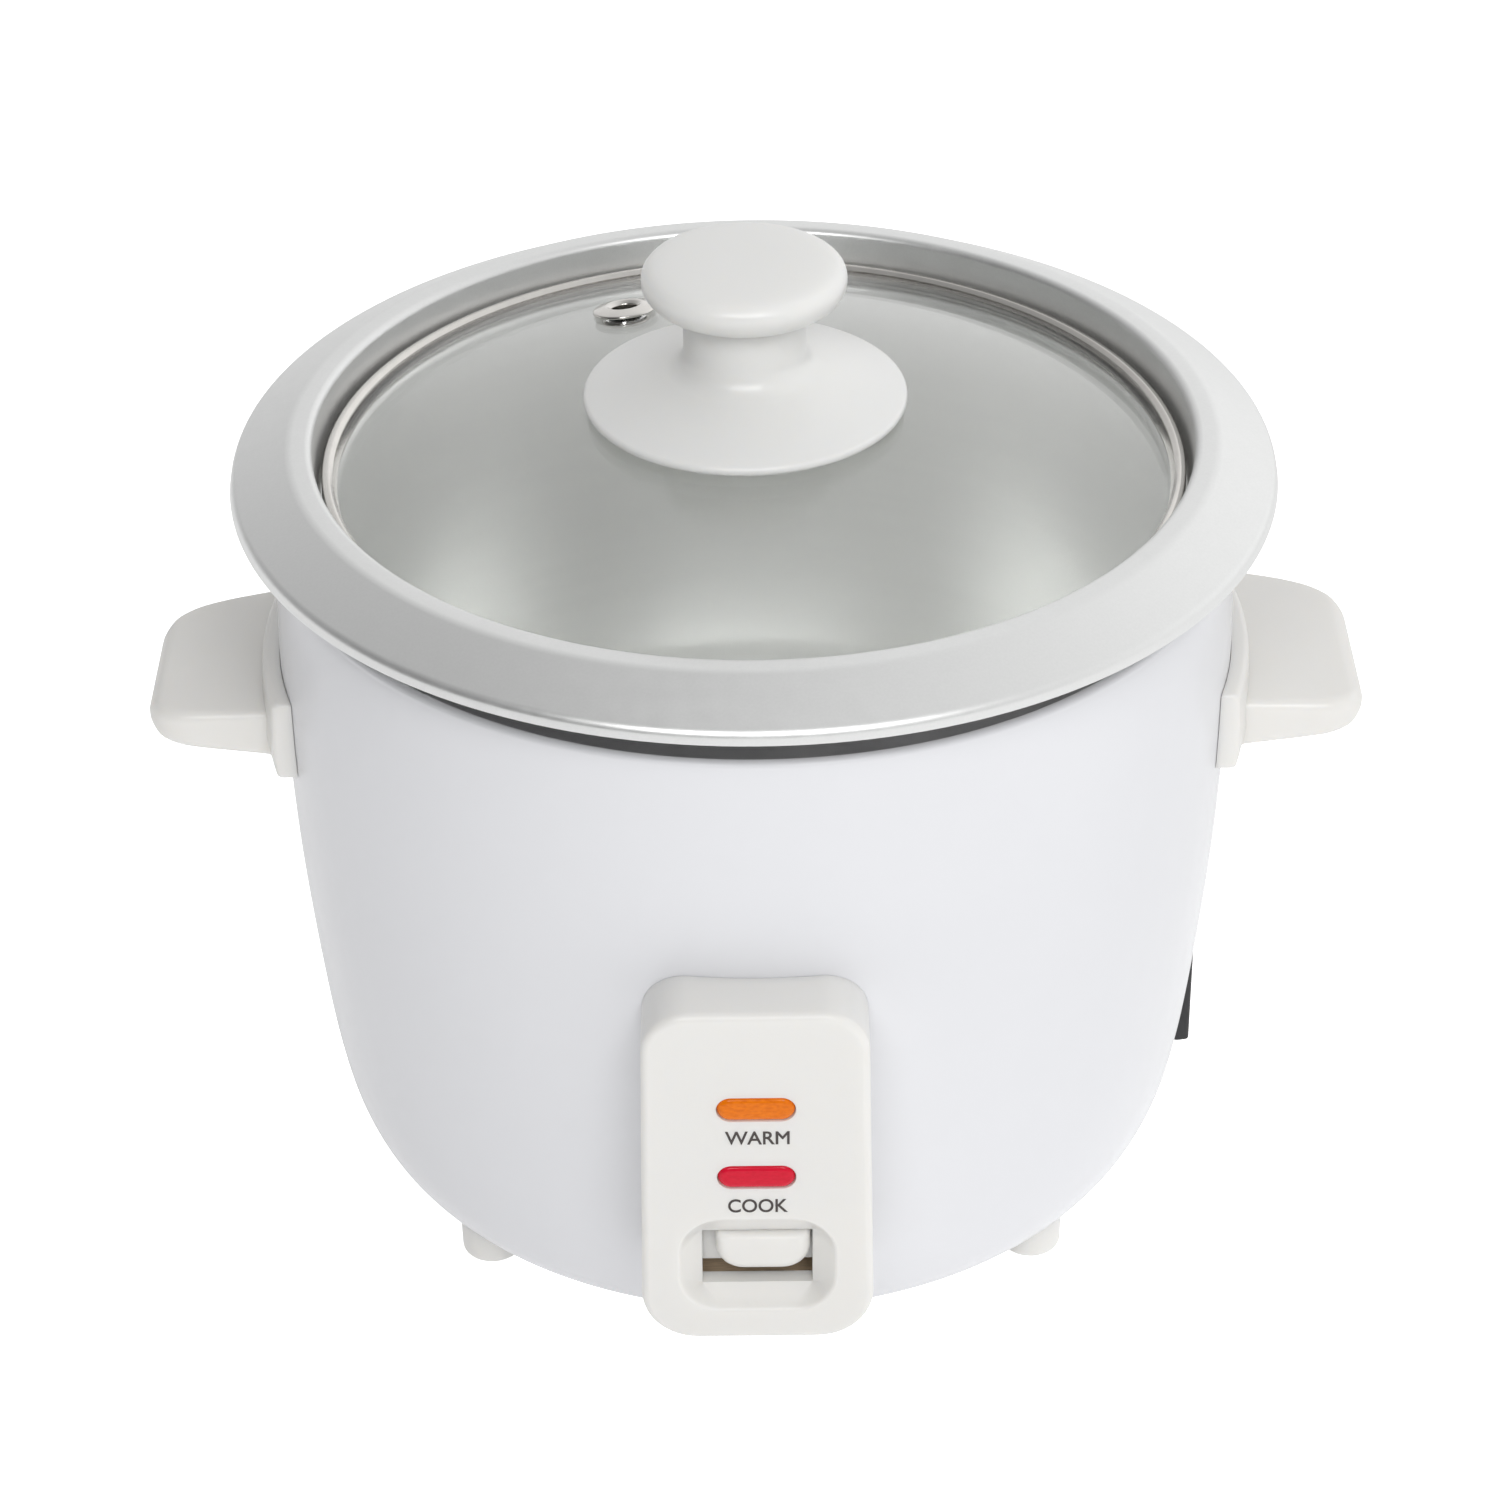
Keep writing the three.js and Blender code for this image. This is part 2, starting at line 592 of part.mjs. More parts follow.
function powerInlet() {
  const { face, half, bottom, top } = INLET;
  const flange = cut(block(74, face, -half, half, bottom, top).rotateZ(INLET_TURN), shellSpace());
  const body = block(72, 88, 0.7 - half, half - 0.7, bottom + 1.3, top - 1.4).rotateZ(INLET_TURN);
  const socket = block(76, 100, -11, 11, 17.4, 32).rotateZ(INLET_TURN);
  const slots = INLET_PINS.map(([, y, z]) => inletBlade(y, z, GAP, 60, 80));
  add('power_inlet', cut(join(flange, body), socket, ...slots), BLACK);
  for (const [name, y, z] of INLET_PINS) add(`inlet_pin_${name}`, inletBlade(y, z, 0, PIN_BACK, 87), STEEL);
}

function wiring() {
  const fuse = { x: -48, z: 24, half: 11 };
  add('thermal_fuse', rodY(3, -fuse.half, fuse.half, fuse.x, fuse.z, 12), SILICONE);
  const blockBack = -89.1; // just behind the contact block
  const [x1, y1, z1] = elementEnd(ELEMENT.fromDegrees);
  const [x2, y2, z2] = elementEnd(ELEMENT.toDegrees);
  add('lead_live', lead([
    pinTail(-7, 22.6), [60, 2, 23], [54, -36, 24], [34, -66, 27], [14, -80, 29], [8, blockBack, 30],
  ]), BLACK);
  add('lead_neutral', lead([
    pinTail(7, 22.6), [58, 19, 23], [46, 36, 24], [26, 46, 26], [x2 + 3, y2 + 3, z2 - 3], [x2, y2, z2],
  ]), SILICONE);
  add('lead_switched', lead([
    [-8, blockBack, 30], [-14, -80, 27], [-34, -62, 24], [-48, -34, 24], [fuse.x, -fuse.half - GAP, fuse.z],
  ]), BLACK);
  add('lead_fused', lead([
    [fuse.x, fuse.half + GAP, fuse.z], [-46, 24, 24], [-32, 42, 25], [x1 - 4, y1 + 4, z1 - 4], [x1, y1, z1],
  ]), SILICONE);
}

// ---- Pot ----

function innerPot() {
  const corner = POT_RADIUS - POT_CORNER;
  const underside = [
    [0, POT_BOTTOM],
    ...arc(corner, POT_BOTTOM + POT_CORNER, POT_CORNER, -90, 0, 5),
    [POT_RADIUS, LEDGE_Z - 1.8],
    [82.6, LEDGE_Z - POT_WALL],
    [87.1, LEDGE_Z - POT_WALL],
    [87.6, 162.8],
    [88.6, 163.9],
    [90.9, 163.7],
    [101.2, 158.3],
    [101.6, BRIM_EDGE_Z],
  ];
  const topSide = [
    [BRIM_RADIUS, BRIM_EDGE_Z],
    [102.4, 159.2],
    [91.6, 164.9],
    [89.6, BRIM_CREST_Z],
    [87.8, 165.1],
    [86.5, 163.6],
    [86, LEDGE_Z],
    [81.6, LEDGE_Z],
    [POT_RADIUS - POT_WALL, LEDGE_Z - 0.9],
    ...arc(corner, POT_BOTTOM + POT_CORNER, POT_CORNER - POT_WALL, 0, -90, 5),
    [0, POT_BOTTOM + POT_WALL],
  ];
  add('inner_pot', turned([...underside, ...topSide]), ALUMINIUM);
}

// ---- Lid ----

function glassTop(radius) {
  return GLASS_EDGE_Z + (GLASS_RADIUS ** 2 - radius ** 2) / (2 * DOME_RADIUS);
}

// Stands a piece made about Z on the glass at the steam vent, square to the dome.
function atVent(geometry) {
  geometry.rotateY(Math.asin(VENT_RADIUS / DOME_RADIUS));
  geometry.translate(VENT_RADIUS, 0, glassTop(VENT_RADIUS));
  return geometry.rotateZ(VENT_ANGLE);
}

function lidGlass() {
  const radii = [3.5, 30, 52, 70, GLASS_RADIUS];
  const under = radii.map((radius) => [radius, glassTop(radius) - GLASS_THICKNESS]);
  const over = radii.map((radius) => [radius, glassTop(radius)]).reverse();
  const dome = turned([...under, ...over]);
  add('lid_glass', cut(dome, atVent(rodZ(4.6, -10, 10))), [0xdfe6e2, 0.05, 0]);
}

function lidRing() {
  const inner = RING_RADIUS - 0.8;
  const profile = [
    [81, RING_BOTTOM],
    [RING_RADIUS - 0.5, RING_BOTTOM],
    [RING_RADIUS, RING_BOTTOM + 0.8],
    [RING_RADIUS, RING_TOP - 0.8],
    [RING_RADIUS - 0.6, RING_TOP],
    [82.5, RING_TOP],
    [82.5, RING_TOP - 0.5],
    [inner, RING_TOP - 0.6],
    [inner, RING_BOTTOM + 0.5],
    [81, RING_BOTTOM + 0.5],
  ];
  add('lid_ring', turned(profile), STEEL);
}

function lidKnob() {
  const bore = [[0, KNOB_BORE_TOP], [KNOB_BORE, KNOB_BORE_TOP], [KNOB_BORE, KNOB_SEAT_Z]];
  const underside = [[8, KNOB_SEAT_Z], [8.6, 176.2], [16, 175.2], [28.4, 172.6], [29.4, 171.5]];
  const skirt = [[31.1, 171.2], [31.6, 172], [30.8, 173.3], [24, 175.4], [17, 177.7], [13.6, 179.9]];
  const neck = [[12.1, 183], [11.9, 187], [12.1, 192.4]];
  const cap = [[16.2, 193.1], [18.6, 194.5], [19.75, 196.8], [19.1, 199.3], [16.5, 200.8], [9, 201.7]];
  add('lid_knob', turned([...bore, ...underside, ...skirt, ...neck, ...cap, [0, KNOB_TOP]], 24), PLASTIC);
}

function knobFastening() {
  const under = glassTop(0) - GLASS_THICKNESS - GAP;
  const washer = turned([[3, under - 1.2], [9, under - 1.2], [9, under - GAP], [3, under - GAP]], 24);
  add('knob_washer', washer, SILICONE);
  const headTop = under - 1.2 - GAP;
  add('knob_screw', join(rodZ(5, headTop - 2, headTop), rodZ(2.2, headTop - 0.5, 185)), STEEL);
}

function ventGrommet() {
  const profile = [
    [3, -4.2], [5.8, -4.2], [5.8, -3.6], [4.1, -3.6], [4.1, 0.4], [6.6, 0.4], [6.6, 0.9], [5.8, 1.3], [3, 1.3],
  ];
  add('vent_grommet', atVent(turned(profile, 18)), STEEL);
}

outerShell();
bottomCover();
feet();
heatChamber();
hotPlate();
plateSpacers();
heatingElement();
thermostat();
sensorBracket();
switchBracket();
leverPin();
cookLever();
contactSwitch();
switchHousing();
housingScrews();
lamps();
handle('right_handle', 1);
handle('left_handle', -1);
handleScrews();
powerInlet();
wiring();
innerPot();
lidGlass();
lidRing();
lidKnob();
knobFastening();
ventGrommet();

export default cooker;
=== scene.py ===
"""A small drum rice cooker: the visible pieces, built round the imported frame.

Outlines are in millimetres about the cooker's own axis, with heights above the surface that it stands on.
Every object is in metres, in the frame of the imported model.
"""

import json
import math

import bmesh
import bpy
from mathutils import Euler, Matrix, Vector


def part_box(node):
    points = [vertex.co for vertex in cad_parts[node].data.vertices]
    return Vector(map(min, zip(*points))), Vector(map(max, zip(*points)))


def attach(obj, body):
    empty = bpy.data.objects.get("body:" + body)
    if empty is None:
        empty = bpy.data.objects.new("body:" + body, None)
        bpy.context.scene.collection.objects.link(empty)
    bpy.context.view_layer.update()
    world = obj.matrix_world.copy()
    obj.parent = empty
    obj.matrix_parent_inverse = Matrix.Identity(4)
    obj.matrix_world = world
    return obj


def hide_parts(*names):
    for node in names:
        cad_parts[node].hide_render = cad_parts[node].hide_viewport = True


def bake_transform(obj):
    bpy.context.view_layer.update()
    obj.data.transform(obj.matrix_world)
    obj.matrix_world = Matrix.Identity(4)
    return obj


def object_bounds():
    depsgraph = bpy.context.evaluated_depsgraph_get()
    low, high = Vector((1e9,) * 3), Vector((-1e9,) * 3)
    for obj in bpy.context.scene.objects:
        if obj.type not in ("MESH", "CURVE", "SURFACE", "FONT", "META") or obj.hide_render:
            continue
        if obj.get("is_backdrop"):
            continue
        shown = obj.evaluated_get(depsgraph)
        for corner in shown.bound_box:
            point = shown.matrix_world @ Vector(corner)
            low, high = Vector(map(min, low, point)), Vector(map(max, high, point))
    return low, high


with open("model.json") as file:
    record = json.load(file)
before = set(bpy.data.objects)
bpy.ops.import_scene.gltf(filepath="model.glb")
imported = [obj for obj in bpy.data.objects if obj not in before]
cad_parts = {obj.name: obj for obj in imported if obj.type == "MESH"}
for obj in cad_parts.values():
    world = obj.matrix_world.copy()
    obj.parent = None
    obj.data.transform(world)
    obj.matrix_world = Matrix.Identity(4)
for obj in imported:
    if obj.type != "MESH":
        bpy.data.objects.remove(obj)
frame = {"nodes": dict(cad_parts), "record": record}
CAD_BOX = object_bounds()

MM = 0.001


# ---- Places taken from the frame ----

def box_mm(node):
    """Lowest and highest corner of a CAD node, in millimetres about the cooker's axis."""
    return [Vector(corner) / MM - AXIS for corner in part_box(node)]


POT_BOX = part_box("inner_pot")
AXIS = Vector(((POT_BOX[0].x + POT_BOX[1].x) / 2, (POT_BOX[0].y + POT_BOX[1].y) / 2, 0)) / MM

BRIM_RADIUS = box_mm("inner_pot")[1].x
HOUSING_LOW, HOUSING_HIGH = box_mm("switch_housing")
HANDLE_REACH = box_mm("right_handle")[1].x
HANDLE_BAND_LOW, HANDLE_BAND_HIGH = box_mm("right_handle")[0].z, box_mm("right_handle")[1].z


# ---- Outlines ----

def rounded(corners, steps=6, closed=True):
    """A line through (a, b) or (a, b, radius) corners, each corner rounded to its radius."""
    line = []
    count = len(corners)
    for i, corner in enumerate(corners):
        here = Vector(corner[:2])
        radius = corner[2] if len(corner) > 2 else 0
        if not radius or (not closed and i in (0, count - 1)):
            line.append(here)
            continue
        back = (Vector(corners[i - 1][:2]) - here).normalized()
        on = (Vector(corners[(i + 1) % count][:2]) - here).normalized()
        half = back.angle(on) / 2
        centre = here + (back + on).normalized() * radius / math.sin(half)
        start = here + back * radius / math.tan(half) - centre
        end = here + on * radius / math.tan(half) - centre
        turn = math.pi - 2 * half
        for k in range(steps + 1):
            a = math.sin(turn * (1 - k / steps))
            b = math.sin(turn * k / steps)
            line.append(centre + (start * a + end * b) / math.sin(turn))
    return line


def curve(points, steps=8):
    """A smooth line through the points."""
    points = [Vector(p) for p in points]
    line = []
    for i in range(len(points) - 1):
        before = points[max(i - 1, 0)]
        a, b = points[i], points[i + 1]
        after = points[min(i + 2, len(points) - 1)]
        for k in range(steps):
            t = k / steps
            pull_a = (b - before) / 2
            pull_b = (after - a) / 2
            line.append(
                a * (2 * t**3 - 3 * t**2 + 1)
                + pull_a * (t**3 - 2 * t**2 + t)
                + b * (3 * t**2 - 2 * t**3)
                + pull_b * (t**3 - t**2)
            )
    line.append(points[-1])
    return line


def sideways(line, distance):
    """The same line moved to the left of its direction."""
    moved = []
    for i, here in enumerate(line):
        along = line[min(i + 1, len(line) - 1)] - line[max(i - 1, 0)]
        moved.append(here + Vector((-along.y, along.x)).normalized() * distance)
    return moved


def sheet_outline(line, wall):
    """A closed outline of a sheet of that thickness: the line, and the same line moved to its right."""
    return line + sideways(line, -wall)[::-1]


# ---- Meshes ----

def place(points):
    """Millimetres about the cooker's axis to metres in the frame."""
    return [(Vector(p) + AXIS) * MM for p in points]


def new_object(name, points, faces, smooth_angle=32):
    mesh = bpy.data.meshes.new(name)
    mesh.from_pydata(place(points), [], faces)
    return show(name, mesh, smooth_angle)


def show(name, mesh, smooth_angle=32):
    work = bmesh.new()
    work.from_mesh(mesh)
    bmesh.ops.remove_doubles(work, verts=work.verts, dist=1e-7)
    bmesh.ops.recalc_face_normals(work, faces=work.faces)
    work.to_mesh(mesh)
    work.free()
    soften(mesh, smooth_angle)
    piece = bpy.data.objects.new(name, mesh)
    bpy.context.scene.collection.objects.link(piece)
    return piece


def soften(mesh, smooth_angle):
    mesh.shade_smooth()
    mesh.set_sharp_from_angle(angle=math.radians(smooth_angle))


def lathe(name, outline, segments=128, zone=None):
    """A solid of revolution. The outline closes on itself, or starts and ends on the axis."""
    points = []
    rings = []
    for radius, height in outline:
        if radius < 1e-6:
            rings.append([len(points)] * segments)
            points.append((0, 0, height))
            continue
        rings.append(range(len(points), len(points) + segments))
        for k in range(segments):
            angle = 2 * math.pi * k / segments
            points.append((radius * math.cos(angle), radius * math.sin(angle), height))
    on_axis = outline[0][0] < 1e-6
    faces = []
    zones = []
    for i in range(len(rings) - on_axis):
        a, b = rings[i], rings[(i + 1) % len(rings)]
        middle = (Vector(outline[i]) + Vector(outline[(i + 1) % len(rings)])) / 2
        for k in range(segments):
            following = (k + 1) % segments
            corners = dict.fromkeys((a[k], a[following], b[following], b[k]))
            if len(corners) > 2:
                faces.append(list(corners))
                zones.append(zone(*middle) if zone else 0)
    mesh = bpy.data.meshes.new(name)
    mesh.from_pydata(place(points), [], faces)
    mesh.polygons.foreach_set("material_index", zones)
    return show(name, mesh)


def loft(name, rings, smooth_angle=32):
    """A closed solid through rings of equal count, with flat ends."""
    count = len(rings[0])
    points = [p for ring in rings for p in ring]
    faces = [list(range(count)), list(range(len(points) - count, len(points)))]
    for i in range(len(rings) - 1):
        for k in range(count):
            a, b = i * count + k, i * count + (k + 1) % count
            faces.append([a, b, b + count, a + count])
    return new_object(name, points, faces, smooth_angle)


def along_y(outline, stations):
    """Rings of the outline, a function of its inset, at (y, inset) stations."""
    return [[(p.x, y, p.y) for p in outline(inset)] for y, inset in stations]


def edge_stations(y_back, y_front, radius, steps=7):
    """Stations from the back to a front whose edge is rounded. The front is towards -Y."""
    stations = [(y_back, 0)]
    for k in range(steps + 1):
        angle = math.pi / 2 * k / steps
        stations.append((y_front + radius * (1 - math.sin(angle)), radius * (1 - math.cos(angle))))
    return stations


def block(name, x0, x1, y0, y1, z0, z1, radius=0.0):
    """A box with its edges along Y rounded, and its ends too where there is a radius."""
    def outline(inset):
        r = max(radius - inset, 0.01)
        corners = [
            (x0 + inset, z0 + inset, r), (x1 - inset, z0 + inset, r),
            (x1 - inset, z1 - inset, r), (x0 + inset, z1 - inset, r),
        ]
        return rounded(corners, 4)
    if not radius:
        return loft(name, along_y(outline, [(y1, 0), (y0, 0)]))
    front = edge_stations(y1, y0, radius * 0.99, 4)[1:]
    back = [(y0 + y1 - y, inset) for y, inset in reversed(front)]
    return loft(name, along_y(outline, back + front))


def rod(name, radius, start, end, segments=32):
    """A round bar between two points."""
    start, end = Vector(start), Vector(end)
    turn = (end - start).to_track_quat("Z", "Y")
    circle = [2 * math.pi * k / segments for k in range(segments)]
    spokes = [turn @ Vector((radius * math.cos(a), radius * math.sin(a), 0)) for a in circle]
    return loft(name, [[start + s for s in spokes], [end + s for s in spokes]])


def combine(piece, operation, *tools):
    """Cuts the tools from the piece, or joins them to it, and removes them."""
    for tool in tools:
        modifier = piece.modifiers.new("combine", "BOOLEAN")
        modifier.operation = operation
        modifier.solver = "EXACT"
        modifier.object = tool
        shaped = bpy.data.meshes.new_from_object(piece.evaluated_get(bpy.context.evaluated_depsgraph_get()))
        piece.modifiers.clear()
        piece.data = shaped
        bpy.data.objects.remove(tool)
    soften(piece.data, 32)
    return piece


def cut(piece, *tools):
    return combine(piece, "DIFFERENCE", *tools)


def join(piece, *tools):
    return combine(piece, "UNION", *tools)


def turn_about_axis(piece, angle):
    """Turns a piece's mesh about the cooker's axis."""
    centre = Matrix.Translation(AXIS * MM)
    piece.data.transform(centre @ Matrix.Rotation(angle, 4, "Z") @ centre.inverted())
    return piece


def flat_faces_first(piece):
    """Keeps flat faces looking flat beside the rounded edges that meet them."""
    modifier = piece.modifiers.new("weighted", "WEIGHTED_NORMAL")
    modifier.keep_sharp = True
    modifier.weight = 100
    return piece


def deliver(piece, body, slot, materials, *replaced):
    """Gives a finished piece its body and materials, and hides the CAD parts that it stands for."""
    for index, material in enumerate(materials):
        if index == len(piece.data.materials):
            piece.data.materials.append(None)
        piece.data.materials[index] = material
    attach(piece, body)
    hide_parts(*replaced)
    return piece


# ---- Materials ----

class Surface:
    """A Principled material with helpers for its textures, in the frame's own metres."""

    def __init__(self, name, colour, roughness, metallic=0.0):
        self.material = bpy.data.materials.new(name)
        self.material.use_nodes = True
        self.tree = self.material.node_tree
        self.shader = self.tree.nodes["Principled BSDF"]
        self.colour = colour
        self.shader.inputs["Base Color"].default_value = (*colour, 1)
        self.shader.inputs["Roughness"].default_value = roughness
        self.shader.inputs["Metallic"].default_value = metallic
        self.roughness = roughness
        self.place = self.node("ShaderNodeTexCoord").outputs["Object"]

    def node(self, kind, **settings):
        made = self.tree.nodes.new(kind)
        for key, value in settings.items():
            setattr(made, key, value)
        return made

    def link(self, start, end):
        self.tree.links.new(start, end)

    def stretched(self, x, y, z):
        """The place, squeezed or stretched along each axis."""
        mapping = self.node("ShaderNodeMapping")
        mapping.inputs["Scale"].default_value = (x, y, z)
        self.link(self.place, mapping.inputs["Vector"])
        return mapping.outputs["Vector"]

    def noise(self, size, detail=2.0, place=None):
        """Noise whose blotches are about size millimetres across."""
        made = self.node("ShaderNodeTexNoise")
        made.inputs["Scale"].default_value = 1 / (size * MM)
        made.inputs["Detail"].default_value = detail
        self.link(place or self.place, made.inputs["Vector"])
        return made.outputs["Fac"]

    def ranged(self, value, low, high, start=0.3, end=0.7):
        made = self.node("ShaderNodeMapRange")
        made.inputs["From Min"].default_value = start
        made.inputs["From Max"].default_value = end
        made.inputs["To Min"].default_value = low
        made.inputs["To Max"].default_value = high
        self.link(value, made.inputs["Value"])
        return made.outputs["Result"]

    def blend(self, factor, first, second):
        """A colour between two, each a colour or a socket."""
        made = self.node("ShaderNodeMix", data_type="RGBA")
        self.link(factor, made.inputs["Factor"])
        for key, value in (("A", first), ("B", second)):
            socket = next(i for i in made.inputs if i.name == key and i.type == "RGBA")
            if isinstance(value, tuple):
                socket.default_value = (*value, 1)
            else:
                self.link(value, socket)
        return next(o for o in made.outputs if o.type == "RGBA")

    def mottle(self, size, amount, detail=3.0):
        """Colour that drifts by a share either side of the base colour."""
        darker = tuple(c * (1 - amount) for c in self.colour)
        lighter = tuple(min(c * (1 + amount), 1) for c in self.colour)
        mixed = self.blend(self.ranged(self.noise(size, detail), 0, 1), darker, lighter)
        self.link(mixed, self.shader.inputs["Base Color"])

    def uneven_gloss(self, size, amount):
        """Roughness that drifts either side of its base value."""
        drift = self.ranged(self.noise(size, 3), self.roughness - amount, self.roughness + amount)
        self.link(drift, self.shader.inputs["Roughness"])

    def relief(self, height, depth, strength=1.0):
        """Bumps of that depth in millimetres."""
        bump = self.node("ShaderNodeBump")
        bump.inputs["Strength"].default_value = strength
        bump.inputs["Distance"].default_value = depth * MM
        self.link(height, bump.inputs["Height"])
        self.link(bump.outputs["Normal"], self.shader.inputs["Normal"])


def painted(name, colour):
    """Gloss enamel with a faint orange peel."""
    made = Surface(name, colour, 0.22)
    made.mottle(60, 0.012)
    made.uneven_gloss(30, 0.03)
    made.relief(made.noise(2.4, 1), 0.012, 0.35)
    made.shader.inputs["Specular IOR Level"].default_value = 0.32
    return made.material


def moulded(name, colour, roughness=0.3, amount=0.005):
    """Smooth moulded plastic that lets a little light in."""
    made = Surface(name, colour, roughness)
    made.mottle(90, amount, 0)
    made.uneven_gloss(60, 0.006)
    made.shader.inputs["Subsurface Weight"].default_value = 0.35
    made.shader.inputs["Subsurface Radius"].default_value = (0.004, 0.0037, 0.0032)
    made.shader.inputs["Subsurface Scale"].default_value = 1.0
    return made.material


def silvered(name, colour, roughness, grain=0.35, metallic=0.85):
    """Satin silver with a fine grain."""
    made = Surface(name, colour, roughness, metallic)
    made.mottle(0.5, 0.012, 1)
    made.uneven_gloss(3, 0.03)
    made.relief(made.noise(grain, 2), 0.01, 0.1)
    return made.material


def turned(name, colour, roughness, metallic):
    """Satin metal with broad, faint bands left by turning."""
    made = Surface(name, colour, roughness, metallic)
    bands = made.noise(3, 2, made.stretched(0.08, 0.08, 1))
    darker = tuple(c * 0.98 for c in colour)
    made.link(made.blend(made.ranged(bands, 0, 1), darker, colour), made.shader.inputs["Base Color"])
    made.link(made.ranged(bands, roughness - 0.02, roughness + 0.02), made.shader.inputs["Roughness"])
    return made.material


def polished(name, colour, roughness):
    """Rolled stainless steel: bright, with faint draw lines round the axis."""
    made = Surface(name, colour, roughness, 1.0)
    made.mottle(4, 0.03)
    lines = made.noise(1.2, 3, made.stretched(1, 1, 12))
    made.link(made.ranged(lines, roughness * 0.7, roughness * 1.5), made.shader.inputs["Roughness"])
    made.relief(lines, 0.004, 0.25)
    return made.material


def metal(name, colour, roughness, spangle=5):
    """Plain or plated metal with a slightly uneven face."""
    made = Surface(name, colour, roughness, 0.95)
    made.mottle(spangle, 0.08)
    made.uneven_gloss(spangle / 2, 0.08)
    made.relief(made.noise(0.6, 3), 0.01, 0.3)
    return made.material


def dull(name, colour, roughness, grain=0.7, amount=0.06):
    """Matt rubber, board or sleeving."""
    made = Surface(name, colour, roughness)
    made.mottle(2.5, amount)
    made.uneven_gloss(2, 0.05)
    made.relief(made.noise(grain, 4), 0.03, 0.4)
    return made.material


def board(name, colour):
    """Pressed phenolic board with fibres."""
    made = Surface(name, colour, 0.55)
    fibres = made.noise(0.9, 5, made.stretched(0.25, 1, 2.5))
    darker = tuple(c * 0.7 for c in colour)
    made.link(made.blend(made.ranged(fibres, 0, 1), darker, colour), made.shader.inputs["Base Color"])
    made.relief(fibres, 0.03, 0.4)
    return made.material


def lens(name, colour, deep):
    """Tinted plastic with a prismatic back, and a faint painted glow in its tint."""
    made = Surface(name, colour, 0.12)
    ribs = made.noise(0.7, 3, made.stretched(0.6, 1, 1.3))
    tint = made.blend(made.ranged(ribs, 0.2, 0.8, 0.3, 0.7), deep, colour)
    made.link(tint, made.shader.inputs["Base Color"])
    # Painted glow: the tint also feeds a faint emission, which lifts the lens colour.
    made.link(tint, made.shader.inputs["Emission Color"])
    made.shader.inputs["Emission Strength"].default_value = 0.15
    made.uneven_gloss(3, 0.03)
    made.relief(ribs, 0.01, 0.1)
    made.shader.inputs["Specular IOR Level"].default_value = 0.22
    return made.material


def clear_glass(name, tint, roughness=0.0):
    """Clear glass with a tint. Rays from lamps pass straight through it."""
    made = Surface(name, tint, roughness)
    made.shader.inputs["Transmission Weight"].default_value = 1.0
    made.shader.inputs["IOR"].default_value = 1.5
    smears = made.noise(40, 1)
    made.link(made.ranged(smears, roughness, roughness + 0.02), made.shader.inputs["Roughness"])
    open_way = made.node("ShaderNodeBsdfTransparent")
    open_way.inputs["Color"].default_value = (*(c * 0.95 for c in tint), 1)
    path = made.node("ShaderNodeLightPath")
    either = made.node("ShaderNodeMixShader")
    output = made.tree.nodes["Material Output"]
    made.link(path.outputs["Is Shadow Ray"], either.inputs["Fac"])
    made.link(made.shader.outputs["BSDF"], either.inputs[1])
    made.link(open_way.outputs["BSDF"], either.inputs[2])
    made.link(either.outputs["Shader"], output.inputs["Surface"])
    return made.material


SHELL_PAINT = painted("shell_paint", (0.755, 0.76, 0.785))
IVORY = moulded("ivory_plastic", (0.785, 0.775, 0.75), 0.3)
KNOB_WHITE = moulded("knob_white", (0.81, 0.81, 0.795), 0.28)
BRIM_SILVER = silvered("brim_silver", (0.80, 0.805, 0.80), 0.38)
POT_SATIN = turned("pot_satin", (0.90, 0.905, 0.89), 0.38, 0.85)
# Grey metal, made dark so that the gap under the brim reads as deep shade: partly painted shade.
CHAMBER_DARK_FOR_SHADE = metal("chamber_metal_dark_for_shade", (0.36, 0.355, 0.37), 0.45, 12)
CAST = metal("cast_aluminium", (0.62, 0.62, 0.62), 0.35, 2)
STAINLESS = polished("stainless", (0.72, 0.70, 0.67), 0.16)
STEEL = metal("plain_steel", (0.55, 0.55, 0.54), 0.3, 4)
ZINC = metal("zinc_plate", (0.52, 0.53, 0.55), 0.38, 8)
GLASS = clear_glass("lid_glass", (0.99, 0.995, 0.99))
LAMP_GLASS = clear_glass("lamp_glass", (0.93, 0.86, 0.80))
BLACK = moulded("black_plastic", (0.018, 0.018, 0.02), 0.38, 0.1)
# Painted light: the brown board is lighter than real board, to stand in for the light that reaches it behind
# the window.
PHENOLIC_LIGHTENED = board("phenolic", (0.62, 0.47, 0.32))
FERRITE = dull("ferrite", (0.05, 0.05, 0.052), 0.6, 0.4)
SILICONE = dull("silicone", (0.62, 0.60, 0.56), 0.6, 0.5)
LEAD_BLACK = dull("lead_black", (0.02, 0.02, 0.022), 0.45)
LEAD_PALE = dull("lead_pale", (0.58, 0.55, 0.50), 0.7, 0.3)
AMBER = lens("amber_lens", (0.76, 0.19, 0.004), (0.56, 0.11, 0.002))
RED = lens("red_lens", (0.60, 0.008, 0.032), (0.50, 0.005, 0.024))
INK = dull("lettering_ink", (0.055, 0.045, 0.042), 0.55, 0.3)

